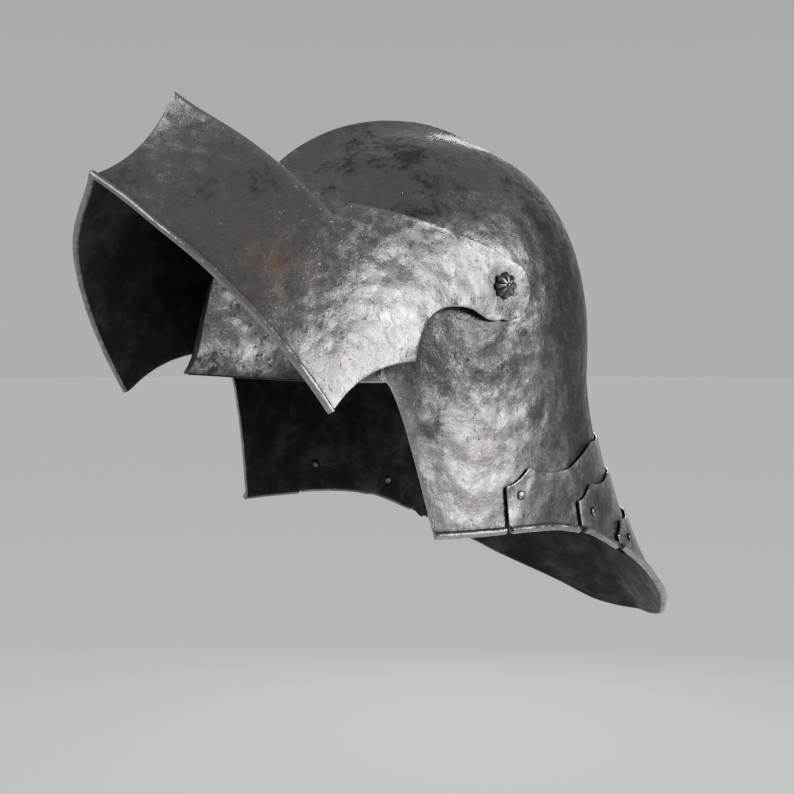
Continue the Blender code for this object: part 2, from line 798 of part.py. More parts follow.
def rivet_spot(lame, side):
    """Spot on the skull's outer face under a lame's rivet, and the outward direction."""
    angle, down = LAME_RIVETS[lame]
    angle = np.array([angle])
    rise = rise_at(angle, TEMPLE_LEVEL - down * (TEMPLE_LEVEL - RIM_LEVEL))
    spot, normal = shell(angle, rise)
    mirror = np.array([side, 1, 1])
    return spot[0] * mirror, normal[0] * mirror


def lame_lift(lame):
    """Distance of a lame's outer face off the skull's."""
    return (lame + 1) * (LAME_PLATE + LAME_GAP)


def lame_axis(lame):
    """Point on the mid-plane of the axis through a lame's two rivets."""
    spot, normal = rivet_spot(lame, 1)
    spot = spot + lame_lift(lame) * normal
    return (0.0, float(spot[1]), float(spot[2]))


def dome_profile(head_radius, head_height, steps):
    """Domed head as (radius, along) pairs, from its rim to its top."""
    turns = np.linspace(0, math.pi / 2, steps + 1)
    edge = head_height * HEAD_RIM_SHARE
    return [(head_radius * math.cos(t) if t < math.pi / 2 - 1e-6 else 0.0,
             edge + (head_height - edge) * math.sin(t)) for t in turns]


def add_rivet(lame, side, name, finish, origin):
    """Rivet through a lame and the plate under it: domed head, shank and burr."""
    spot, normal = rivet_spot(lame, side)
    under = SKULL_PLATE if lame == 0 else LAME_PLATE
    outer = lame_lift(lame) + FACE_GAP
    inner = (lame_lift(lame - 1) if lame else 0.0) - under - FACE_GAP
    profile = [(0.0, inner - RIVET_BURR_HEIGHT), (RIVET_BURR_RADIUS, inner - RIVET_BURR_HEIGHT),
               (RIVET_BURR_RADIUS, inner), (RIVET_SHANK_RADIUS, inner),
               (RIVET_SHANK_RADIUS, outer), (RIVET_HEAD_RADIUS, outer)]
    dome = dome_profile(RIVET_HEAD_RADIUS, RIVET_HEAD_HEIGHT, RIVET_DOME_STEPS)
    profile += [(radius, outer + along) for radius, along in dome]
    points, faces = turned(profile, RIVET_SIDES)
    solid(name, aimed(points, spot, normal), faces, finish, origin)


def add_bolt(side, name, finish, origin):
    """Pivot bolt: fluted rosette head, shank and the nut inside the skull."""
    outer = visor_pivot_half_width() + HEAD_CLEARANCE
    inner = skull_side(BOLT_NUT_RADIUS) - SKULL_PLATE - HEAD_CLEARANCE
    profile = [(0.0, inner - BOLT_NUT_HEIGHT), (BOLT_NUT_RADIUS, inner - BOLT_NUT_HEIGHT),
               (BOLT_NUT_RADIUS, inner), (BOLT_SHANK_RADIUS, inner), (BOLT_SHANK_RADIUS, outer)]
    points, faces = turned(profile, BOLT_SIDES)
    count = len(points)
    shank_ring = list(range(count - BOLT_SIDES, count))
    rings = [shank_ring]
    head = [(BOLT_HEAD_RADIUS, outer)]
    dome = dome_profile(BOLT_HEAD_RADIUS, BOLT_HEAD_HEIGHT, BOLT_DOME_STEPS)
    head += [(radius, outer + along) for radius, along in dome]
    for radius, along in head:
        if radius <= 0:
            points.append((along, 0.0, 0.0))
            rings.append([len(points) - 1])
            continue
        ring = []
        for k in range(BOLT_SIDES):
            turn = 2 * math.pi * k / BOLT_SIDES
            flute = 1 - BOLT_FLUTE_DEPTH * (0.5 - 0.5 * math.cos(BOLT_FLUTES * turn))
            points.append((along, radius * flute * math.cos(turn), radius * flute * math.sin(turn)))
            ring.append(len(points) - 1)
        rings.append(ring)
    faces += ring_faces(rings, BOLT_SIDES)
    solid(name, [(side * x, y, z) for x, y, z in points], faces, finish, origin)


def main():
    """Build every piece of the helmet."""
    for old in list(bpy.data.objects):
        bpy.data.objects.remove(old)
    steel = {
        "skull": material("skull_steel", (0.23, 0.23, 0.24), 0.42),
        "visor": material("visor_steel", (0.27, 0.26, 0.26), 0.40),
        "lame": material("lame_steel", (0.25, 0.25, 0.25), 0.40),
        "bolt": material("bolt_steel", (0.34, 0.33, 0.32), 0.35),
    }
    pivots = (0.0, -CROWN_SET_BACK, SKULL_PLATE - CROWN_LEVEL)
    points, faces = thicken(skull_plate(), SKULL_PLATE, EDGE_STEPS)
    skull = solid("skull", points, faces, steel["skull"], pivots)
    points, faces = thicken(visor_plate(), VISOR_PLATE, EDGE_STEPS)
    visor = solid("visor", points, faces, steel["visor"], pivots, -VISOR_RAISE)
    hole = BOLT_SHANK_RADIUS + HOLE_CLEARANCE
    for side, word in SIDES:
        centre = (side * visor_pivot_half_width(), 0, 0)
        for plate in (skull, visor):
            bore(plate, centre, (side, 0, 0), hole, BOLT_SIDES, f"bolt_bore_{plate.name}_{word}")
        add_bolt(side, f"pivot_bolt_{word}", steel["bolt"], pivots)
    plates = [skull]
    for lame in range(len(LAME_EDGES)):
        points, faces = thicken(lame_plate(lame), LAME_PLATE, EDGE_STEPS)
        axis = lame_axis(lame)
        points = [np.array(p) - axis for p in points]
        seat = tuple(np.add(pivots, axis))
        plates.append(solid(f"tail_lame_{lame + 1}", points, faces, steel["lame"], seat))
    hole = RIVET_SHANK_RADIUS + HOLE_CLEARANCE
    for lame in range(len(LAME_EDGES)):
        for side, word in SIDES:
            spot, normal = rivet_spot(lame, side)
            for plate in plates[lame:lame + 2]:
                centre = spot + np.subtract(pivots, plate.location)
                name = f"rivet_bore_{lame + 1}_{plate.name}_{word}"
                bore(plate, centre, normal, hole, RIVET_SIDES, name)
            add_rivet(lame, side, f"lame_rivet_{lame + 1}_{word}", steel["bolt"], pivots)


main()
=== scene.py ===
"""Looks of a visored sallet helmet: aged, dented steel over a pale studio floor.

The plates are worked out about the visor's pivots, X to the wearer's left, -Y the way the face
looks and Z up, from the same sizes as the helmet's solids. They are meshed finely enough for
rolled edges, a rounded keel and dents. Lengths are metres and angles are degrees.
"""
import itertools
import logging
import math
from collections.abc import Sequence
from dataclasses import dataclass, field
from enum import Enum

import bpy
import numpy as np
from mathutils import Matrix, Vector
from mathutils.kdtree import KDTree


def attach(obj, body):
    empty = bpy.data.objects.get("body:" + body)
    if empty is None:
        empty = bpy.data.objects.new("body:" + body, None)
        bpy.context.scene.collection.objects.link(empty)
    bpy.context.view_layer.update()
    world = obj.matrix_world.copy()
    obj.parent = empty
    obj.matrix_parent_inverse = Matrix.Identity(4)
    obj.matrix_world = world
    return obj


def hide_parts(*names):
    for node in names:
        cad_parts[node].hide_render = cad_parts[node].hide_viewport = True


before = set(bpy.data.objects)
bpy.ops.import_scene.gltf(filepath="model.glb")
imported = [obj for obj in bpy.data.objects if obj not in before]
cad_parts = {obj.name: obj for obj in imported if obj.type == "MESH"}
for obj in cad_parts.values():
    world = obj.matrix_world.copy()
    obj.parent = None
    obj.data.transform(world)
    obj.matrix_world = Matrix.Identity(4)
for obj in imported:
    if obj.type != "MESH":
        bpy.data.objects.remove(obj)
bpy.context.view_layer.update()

LOG = logging.getLogger("helmet")

Array = np.ndarray
Colour = tuple[float, float, float]
Row = tuple[float, ...]
Span = tuple[float, float]
Socket = bpy.types.NodeSocket
Value = Socket | float

# Nearer than this, two values count as one.
SLACK = 1e-7
# Angle between faces from which an edge stays sharp, on plates and on bolts and rivets.
PLATE_SHARP = 42.0
STUD_SHARP = 50.0


class Side(Enum):
    """The wearer's left and right, as the sign of X."""

    LEFT = 1
    RIGHT = -1

    @property
    def word(self) -> str:
        """Side in lower case, as the pieces are named."""
        return self.name.lower()


def blend(low: Array | float, high: Array | float, share: Array | float) -> Array | float:
    """Find the value between two others.

    Args:
        low: Value at share 0.
        high: Value at share 1.
        share: How far from low to high.

    Returns:
        The value, as an array where any of the three is one.
    """
    return low + (high - low) * share


def ease(share: Array | float) -> Array:
    """Step smoothly from 0 to 1.

    Args:
        share: Place on the step, 0 at its foot and 1 at its top.

    Returns:
        Height of the step.
    """
    share = np.clip(share, 0.0, 1.0)
    return share * share * (3.0 - 2.0 * share)


def follow(at: Array, run: Sequence[Row], column: int) -> Array:
    """Read a smooth curve through one column of a table whose first column ascends.

    Args:
        at: Places along the first column.
        run: The table.
        column: Number of the column that is read.

    Returns:
        Values of the curve.
    """
    xs = np.array([row[0] for row in run])
    ys = np.array([row[column] for row in run])
    slope = np.diff(ys) / np.diff(xs)
    tangent = np.zeros_like(ys)
    inner = slope[:-1] * slope[1:] > 0
    tangent[1:-1][inner] = (2 * slope[:-1] * slope[1:])[inner] / (slope[:-1] + slope[1:])[inner]
    tangent[0], tangent[-1] = slope[0], slope[-1]
    at = np.clip(at, xs[0], xs[-1])
    k = np.clip(np.searchsorted(xs, at, side="right") - 1, 0, len(xs) - 2)
    span = xs[k + 1] - xs[k]
    t = (at - xs[k]) / span
    return ((1 + 2 * t) * (1 - t) ** 2 * ys[k] + t * (1 - t) ** 2 * span * tangent[k]
            + t * t * (3 - 2 * t) * ys[k + 1] + t * t * (t - 1) * span * tangent[k + 1])


def scallop(at: Array | float, run: Sequence[Row]) -> Array:
    """Read a scalloped edge from a table of (place, value, hollow) corners.

    Args:
        at: Places along the edge.
        run: Corners, and how far the span after each one hollows.

    Returns:
        Values of the edge.
    """
    xs, ys, sag = (np.array(column) for column in zip(*run))
    at = np.clip(at, xs[0], xs[-1])
    k = np.clip(np.searchsorted(xs, at, side="right") - 1, 0, len(xs) - 2)
    t = (at - xs[k]) / (xs[k + 1] - xs[k])
    return blend(ys[k], ys[k + 1], t) + sag[k] * 4 * t * (1 - t)


def heading(angle: Array) -> Array:
    """Turn angles in plan into unit vectors, 0 to the front and 90 to the wearer's left."""
    turn = np.radians(angle)
    return np.stack([np.sin(turn), -np.cos(turn), np.zeros_like(turn)], -1)


def unit(vectors: Array) -> Array:
    """Scale vectors to a length of one."""
    return vectors / np.linalg.norm(vectors, axis=-1, keepdims=True)


def crest(across: Array, spread: float, rounding: float) -> Array:
    """Give the share of a keel's height at a distance from its ridge.

    Args:
        across: Distance from the ridge.
        spread: Distance over which the keel dies away.
        rounding: Radius worn on the ridge.

    Returns:
        Share of the keel's height.
    """
    return np.exp(-(np.hypot(across, rounding) - rounding) / spread)


def runs(corners: Sequence[float], step: float) -> Array:
    """Space values from corner to corner, every corner among them.

    Args:
        corners: Ascending or descending values that are kept.
        step: Longest step between values.

    Returns:
        All the values in order.
    """
    values = [np.array(corners[:1], float)]
    for low, high in itertools.pairwise(corners):
        count = max(2, round(abs(high - low) / step))
        values.append(np.linspace(low, high, count + 1)[1:])
    return np.concatenate(values)


def with_stops(values: Array, stops: Sequence[float], least: float) -> Array:
    """Add stops to ascending values and drop the values that crowd them.

    Args:
        values: Ascending values, whose two ends are kept.
        stops: Values to add.
        least: Nearest that another value may stand to a stop.

    Returns:
        Ascending values.
    """
    stops = np.array(stops)
    ends = (values[0], values[-1])
    clear = [v for v in values if v in ends or np.min(np.abs(stops - v)) > least]
    return np.unique(np.concatenate([clear, stops]))


class Dents:
    """Soft unevenness of hammered plate, the same in every run."""

    CELLS = 32

    def __init__(self, seed: int) -> None:
        """Draw the lattice of heights.

        Args:
            seed: Seed of the draw.
        """
        shape = (self.CELLS,) * 3
        self.heights = np.random.default_rng(seed).uniform(-1, 1, shape)

    def at(self, points: Array, size: float) -> Array:
        """Read the unevenness at points.

        Args:
            points: Points of the plate.
            size: Width of one dent.

        Returns:
            Height at each point, from -1 to 1.
        """
        place = points / size
        cell = np.floor(place).astype(int)
        part = ease(place - cell)
        total = np.zeros(len(points))
        for corner in itertools.product((0, 1), repeat=3):
            weight = np.prod(np.where(corner, part, 1 - part), axis=-1)
            index = (cell + corner) % self.CELLS
            total += weight * self.heights[index[:, 0], index[:, 1], index[:, 2]]
        return total


@dataclass(frozen=True)
class SkullForm:
    """Outer face of the skull, met by an angle in plan and a rise.

    Rise 1 is the crown, 0 the brow and the temples, and -1 the rim.
    """

    half_width: float = 0.1060
    front: float = 0.1280
    back: float = 0.1180
    brow_level: float = -0.0505
    temple: float = -0.0530
    crown_level: float = 0.0930
    crown_set_back: float = 0.0100
    front_roundness: float = 2.10
    back_roundness: float = 2.40
    front_fullness: float = 2.30
    side_fullness: float = 2.55
    back_fullness: float = 2.22
    keel_height: float = 0.0120
    keel_spread: float = 0.0130
    keel_rounding: float = 0.0012
    lip_flare: float = 0.0092
    lip_depth: float = 0.0120
    lip_fade: Span = (35.0, 58.0)
    lip_side_share: float = 0.6
    temple_angle: float = 52.5
    cheek_angle: float = 65.8
    cheek_bow: float = 0.72
    rim_half_width: float = 0.1140
    cheek_rim_level: float = -0.1412
    tail_reach: float = 0.2075
    tail_level: float = -0.2370
    cheek_curl: float = 1.25
    tail_curl: float = 1.75
    # Share of the keel's height along the mid-plane, from the brow over the crown to the tail.
    keel_run: Sequence[Row] = (
        # along, height
        (0.00, 0.75),
        (0.25, 1.00),
        (0.50, 1.00),
        (0.75, 0.60),
        (1.00, 0.30),
    )
    # Rim in plan: angle, share of the tail's reach and share of its drop.
    rim_run: Sequence[Row] = (
        # angle, reach, drop
        (50.0, 0.130, 0.000),
        (64.8, 0.050, 0.000),
        (80.0, 0.014, 0.000),
        (90.0, 0.000, 0.000),
        (104.8, 0.012, 0.010),
        (117.6, 0.093, 0.060),
        (130.0, 0.225, 0.200),
        (138.2, 0.340, 0.337),
        (149.0, 0.490, 0.517),
        (156.0, 0.625, 0.652),
        (164.0, 0.775, 0.798),
        (172.0, 0.930, 0.950),
        (180.0, 1.000, 1.000),
    )
    # Outward directions: the steps that they are measured over, the rises that they keep to, and
    # the rise from which they turn upright at the crown.
    normal_turn: float = 0.05
    normal_rise: float = 0.001
    normal_range: Span = (-1.2, 0.995)
    crown_turn_start: float = 0.9

    def temple_level(self, angle: Array) -> Array:
        """Give the height of the line between the dome and the sides."""
        return blend(self.brow_level, self.temple, ease(angle / self.temple_angle))

    def plan_radius(self, angle: Array) -> Array:
        """Give the distance of the brow line from the pivots' mid point.

        Args:
            angle: Angles in plan.

        Returns:
            Distance at each angle.
        """
        turn = np.radians(angle)
        fore = np.cos(turn)
        length = np.where(fore > 0, self.front, self.back)
        power = blend(self.back_roundness, self.front_roundness, ease((fore + 1) / 2))
        across = (np.abs(np.sin(turn)) / self.half_width) ** power
        return (across + (np.abs(fore) / length) ** power) ** (-1 / power)

    def rim_radius(self, angle: Array) -> Array:
        """Give the distance of the rim from the pivots' mid point in plan."""
        return blend(self.rim_half_width, self.tail_reach, follow(angle, self.rim_run, 1))

    def rim_level(self, angle: Array) -> Array:
        """Give the height of the rim."""
        return blend(self.cheek_rim_level, self.tail_level, follow(angle, self.rim_run, 2))

    def base(self, angle: Array, rise: Array) -> Array:
        """Find points of the face without keel and lip.

        Args:
            angle: Angles in plan.
            rise: Rises, 1 at the crown to -1 at the rim.

        Returns:
            Points.
        """
        fore = np.cos(np.radians(angle))
        ends = np.where(fore > 0, self.front_fullness, self.back_fullness)
        power = blend(self.side_fullness, ends, fore * fore)
        up = np.clip(rise, 0, 1) * math.pi / 2
        height = np.sin(up) ** (2 / power)
        inward = np.clip(np.cos(up), 0, 1) ** (2 / power)
        level = self.temple_level(angle)
        down = np.clip(-rise, 0, None)
        behind = (angle - self.temple_angle) / (180 - self.temple_angle)
        curl = blend(self.cheek_curl, self.tail_curl, ease(behind))
        near = self.plan_radius(angle)
        radius = near * inward + (self.rim_radius(angle) - near) * down ** curl
        place = radius[..., None] * heading(angle)
        place[..., 1] += self.crown_set_back * height
        drop = (self.rim_level(angle) - level) * down
        place[..., 2] = level + (self.crown_level - level) * height + drop
        return place

    def normal(self, angle: Array, rise: Array) -> Array:
        """Find the outward directions of the face without keel and lip.

        Args:
            angle: Angles in plan.
            rise: Rises, 1 at the crown to -1 at the rim.

        Returns:
            Unit vectors.
        """
        turn, step = self.normal_turn, self.normal_rise
        low = np.clip(rise - step, *self.normal_range)
        across = self.base(angle + turn, low + step) - self.base(angle - turn, low + step)
        upward = self.base(angle, low + 2 * step) - self.base(angle, low)
        normal = unit(np.cross(across, upward))
        top = ease((rise - self.crown_turn_start) / (1 - self.crown_turn_start))[..., None]
        normal = normal * (1 - top) + np.array([0.0, 0.0, 1.0]) * top
        on_middle = np.abs(np.sin(np.radians(angle))) < SLACK
        normal[..., 0] = np.where(on_middle, 0.0, normal[..., 0])
        return unit(normal)

    def lip(self, angle: Array, level: Array) -> Array:
        """Give the share of the lip's flare at an angle and a height.

        Args:
            angle: Angles in plan.
            level: Heights.

        Returns:
            Share at each place.
        """
        start, end = self.lip_fade
        fade = 1 - ease((angle - start) / (end - start))
        fade = fade * blend(1.0, self.lip_side_share, np.clip(angle / start, 0, 1))
        return fade * np.exp(-np.abs(level - self.temple_level(angle)) / self.lip_depth)

    def face(self, angle: Array, rise: Array, lift: float = 0.0) -> tuple[Array, Array]:
        """Find points of the finished face, or of a face lifted off it.

        Args:
            angle: Angles in plan.
            rise: Rises, 1 at the crown to -1 at the rim.
            lift: Distance off the skull.

        Returns:
            Points, and the outward directions there.
        """
        angle, rise = np.broadcast_arrays(np.asarray(angle, float), np.asarray(rise, float))
        place = self.base(angle, rise)
        normal = self.normal(angle, rise)
        along = 0.5 - 0.5 * (1 - np.clip(rise, 0, 1)) * np.cos(np.radians(angle))
        keel = self.keel_height * follow(along, self.keel_run, 1)
        keel = keel * crest(place[..., 0], self.keel_spread, self.keel_rounding)
        flare = self.lip_flare * self.lip(angle, place[..., 2])
        place = place + (keel + lift)[..., None] * normal + flare[..., None] * heading(angle)
        return place, normal

    def rise_at(self, angle: Array, level: Array) -> Array:
        """Give the rise on the sides whose height is level."""
        top = self.temple_level(angle)
        return -(top - level) / (top - self.rim_level(angle))

    def level_down(self, share: Array | float) -> Array | float:
        """Give the height at a share of the cheek's height below the temple."""
        return blend(self.temple, self.cheek_rim_level, share)

    def cheek_edge(self, depth: Array | float) -> Array:
        """Give the angle of the face opening's back edge at a depth below the temple."""
        return blend(self.temple_angle, self.cheek_angle, np.abs(depth) ** self.cheek_bow)

    def side(self, level: float) -> float:
        """Give the half width over the pivots at a height above the temples.

        Args:
            level: The height.

        Returns:
            The half width.
        """
        power = self.side_fullness
        height = (level - self.temple) / (self.crown_level - self.temple)
        rise = math.asin(height ** (power / 2)) * 2 / math.pi
        place, _ = self.face(np.array([90.0]), np.array([rise]))
        return float(place[0][0])


@dataclass(frozen=True)
class VisorForm:
    """Outer face of the visor, closed, met by a distance forward of its pivots and a height."""

    pivot_half_width: float
    lower_level: float = -0.1409
    sight_level: float = -0.0690
    lower_half_width: float = 0.1250
    sight_half_width: float = 0.1170
    lower_front: float = 0.1455
    sight_front: float = 0.1560
    lower_keel: float = 0.0160
    sight_keel: float = 0.0185
    keel_hollow: float = 0.0085
    keel_spread: float = 0.0200
    keel_rounding: float = 0.0010
    roundness: float = 1.82
    arm_curl: float = 1.40
    sight_end: float = 0.0870
    sight_step: float = 0.0140
    arm_radius: float = 0.0163
    arm_set_back: float = 0.0040
    arm_rise: float = 0.0010
    arm_crown: float = 0.0065
    top_turn: float = 48.0
    heel_turn: float = 125.0
    under_turn: float = 230.0
    straight_share: float = 0.75
    round_share: float = 0.40
    fade_share: float = 0.30
    nose_share: float = 0.12
    prow_lift: float = 0.0060
    prow_lift_span: float = 0.42
    level_step: float = 0.002
    # Back edge from the pivot down: share of the lower edge's depth, share of the sight's
    # length forward of the pivots, and how far the span that follows hollows.
    back_edge: Sequence[Row] = (
        # down, forward, hollow
        (0.155, -0.040, 0.185),
        (0.576, 0.046, 0.075),
        (1.000, 0.162, 0.000),
    )

    def shape(self, level: Array | float) -> tuple[Array, Array, Array]:
        """Give the half width, front and keel at a height.

        Args:
            level: Heights.

        Returns:
            Half width, front and keel, each at every height.
        """
        up = (level - self.lower_level) / (self.sight_level - self.lower_level)
        band = np.clip(up, 0, 1)
        arm = np.clip(level / self.sight_level, 0, 1) ** self.arm_curl
        half = np.where(up < 1, blend(self.lower_half_width, self.sight_half_width, band),
                        blend(self.pivot_half_width, self.sight_half_width, arm))
        front = blend(self.lower_front, self.sight_front, band)
        keel = blend(self.lower_keel, self.sight_keel, band)
        keel = keel - self.keel_hollow * 4 * band * (1 - band)
        return half, front, keel

    def beside(self, forward: Array, level: Array) -> Array:
        """Find points of the side by distance forward of the pivots and height.

        Args:
            forward: Distances forward.
            level: Heights.

        Returns:
            Points.
        """
        half, front, _ = self.shape(level)
        fore = np.clip(forward / front, 0, 1) ** self.roundness
        return np.stack([half * (1 - fore) ** (1 / self.roundness), -forward, level], -1)

    def lifted(self, share: Array, level: float) -> Array:
        """Give the heights of a row that rises towards the prow.

        Args:
            share: Shares of the row's length, 0 at the prow.
            level: Height of the row's back end.

        Returns:
            Height at each share.
        """
        down = (self.sight_level - level) / (self.sight_level - self.lower_level)
        return level + self.prow_lift * down * (1 - ease(share / self.prow_lift_span))

    def prow(self, turn: Array, level: Array) -> Array:
        """Find points of the front.

        Args:
            turn: Turns, 0 at the prow and a quarter circle at the side.
            level: Heights.

        Returns:
            Points.
        """
        half, front, keel = self.shape(level)
        across = half * np.sin(turn) ** (2 / self.roundness)
        forward = front * np.clip(np.cos(turn), 0, 1) ** (2 / self.roundness)
        forward = forward + keel * crest(across, self.keel_spread, self.keel_rounding)
        return np.stack([across, -forward, level + 0 * across], -1)

    def turn_at(self, forward: float, level: float) -> float:
        """Give the turn of the front at a distance forward of the pivots."""
        _, front, _ = self.shape(level)
        return math.acos((forward / float(front)) ** (self.roundness / 2))

    def back(self, level: float) -> float:
        """Give the distance forward of the pivots of the back edge at a height."""
        return float(scallop(level / self.lower_level, self.back_edge)) * self.sight_end

    def arm_end(self, turn: float) -> Array:
        """Find a point of the arm's round end.

        Args:
            turn: Degrees from the front, upward.

        Returns:
            Distance forward of the pivots, and height.
        """
        turn = math.radians(turn)
        return np.array([self.arm_radius * math.cos(turn) - self.arm_set_back,
                         self.arm_radius * math.sin(turn) + self.arm_rise])

    def arm_top(self, share: float) -> Array:
        """Find a point of the arm's upper edge.

        Args:
            share: Share of the edge, from the sight's end to the heel.

        Returns:
            Distance forward of the pivots, and height.
        """
        if share >= self.straight_share:
            past = (share - self.straight_share) / (1 - self.straight_share)
            return self.arm_end(blend(self.top_turn, self.heel_turn, past))
        part = share / self.straight_share
        corner = np.array([self.sight_end, self.sight_level + self.sight_step])
        crown = np.array([0, self.arm_crown]) * 4 * part * (1 - part)
        return blend(corner, self.arm_end(self.top_turn), part) + crown

    def arm_back(self, share: float) -> Array:
        """Find a point of the arm's lower edge.

        Args:
            share: Share of the edge, from the heel to the level of the sight.

        Returns:
            Distance forward of the pivots, and height.
        """
        if share < self.round_share:
            turn = blend(self.heel_turn, self.under_turn, share / self.round_share)
            return self.arm_end(turn)
        part = (share - self.round_share) / (1 - self.round_share)
        under = self.arm_end(self.under_turn)
        level = blend(under[1], self.sight_level, part)
        stray = (under[0] - self.back(under[1])) * (1 - float(ease(part / self.fade_share)))
        return np.array([self.back(level) + stray, level])

    def normal(self, points: Array) -> Array:
        """Find the outward directions near points, without the keel.

        Args:
            points: Points of the face.

        Returns:
            Unit vectors.
        """
        forward, level = np.maximum(-points[:, 1], 0.0), points[:, 2]
        half, front, _ = self.shape(level)
        across = np.clip(np.abs(points[:, 0]) / half, 0, 1)
        soften = np.clip(across / self.nose_share, 0, 1)
        sideways = across ** (self.roundness - 1) / half * soften
        onward = np.clip(forward / front, 0, 1) ** (self.roundness - 1) / front
        above, _, _ = self.shape(level + self.level_step)
        below, _, _ = self.shape(level - self.level_step)
        slope = (above - below) / (2 * self.level_step)
        return unit(np.stack([sideways, -onward, -slope * sideways], -1))


@dataclass(frozen=True)
class Place:
    """Where a body's pieces go from where they are worked out."""

    shift: tuple[float, float, float]
    pitch: float = 0.0

    def matrix(self) -> Matrix:
        """Give the move as a matrix."""
        return Matrix.Translation(self.shift) @ Matrix.Rotation(math.radians(self.pitch), 4, "X")


class Sheet:
    """Left half of a plate's outer face, to be mirrored and given its thickness."""

    def __init__(self) -> None:
        """Start with no points."""
        self.count = 0
        self.points: list[Array] = []
        self.normals: list[Array] = []
        self.rolls: list[Array] = []
        self.painted_shade: list[Array] = []
        self.faces: list[list[int]] = []

    def add(self, points: Array, normals: Array, roll: Array | float = 0.0,
            painted_shade: Array | float = 0.0) -> list[int]:
        """Add a row of points.

        Args:
            points: Points of the row.
            normals: Outward directions.
            roll: Radius of the rolled edge that starts there.
            painted_shade: Share of painted shade there.

        Returns:
            Numbers of the points.
        """
        length = len(points)
        self.points.append(points)
        self.normals.append(normals)
        self.rolls.append(np.broadcast_to(roll, length))
        self.painted_shade.append(np.broadcast_to(painted_shade, length))
        self.count += length
        return list(range(self.count - length, self.count))

    def grid(self, rows: Sequence[Sequence[int]]) -> None:
        """Join rows of points by faces turned outward.

        Args:
            rows: Point numbers of each row, each row below the last.
        """
        for upper, lower in itertools.pairwise(rows):
            for a, b, c, d in zip(upper[:-1], upper[1:], lower[1:], lower[:-1]):
                self.faces.append(tidy_face([d, c, b, a]))

    def whole(self) -> tuple[Array, Array, Array, Array, list[list[int]]]:
        """Mirror the half.

        Returns:
            Points, outward directions, rolls, painted shade and faces of both halves.
        """
        points, normals, rolls, painted_shade = (
            np.concatenate(part) for part in (self.points, self.normals, self.rolls, self.painted_shade))
        middle = np.abs(points[:, 0]) < SLACK
        points[middle, 0] = 0.0
        normals[middle, 0] = 0.0
        twin = np.arange(self.count)
        twin[~middle] = self.count + np.arange(np.count_nonzero(~middle))
        mirror = np.array([-1.0, 1.0, 1.0])
        points = np.concatenate([points, points[~middle] * mirror])
        normals = np.concatenate([normals, normals[~middle] * mirror])
        rolls = np.concatenate([rolls, rolls[~middle]])
        painted_shade = np.concatenate([painted_shade, painted_shade[~middle]])
        mirrored = [[int(twin[k]) for k in reversed(face)] for face in self.faces]
        return points, normals, rolls, painted_shade, self.faces + mirrored


def tidy_face(face: list[int]) -> list[int]:
    """Drop point numbers that repeat their neighbour."""
    return [k for n, k in enumerate(face) if k != face[n - 1]]


def edge_loops(faces: list[list[int]]) -> list[list[int]]:
    """Find the free edges of a face list.

    Args:
        faces: Point numbers of each face.

    Returns:
        Point numbers of each loop, running against the faces.
    """
    used = set()
    for face in faces:
        used.update(zip(face, face[1:] + face[:1]))
    after = {b: a for a, b in used if (b, a) not in used}
    loops = []
    while after:
        loop = [min(after)]
        while (step := after.pop(loop[-1])) != loop[0]:
            loop.append(step)
        loops.append(loop)
    return loops


@dataclass(frozen=True)
class Stud:
    """Where a bolt or rivet goes through a plate."""

    spot: Array
    axis: Array
    hole: float
    head: float


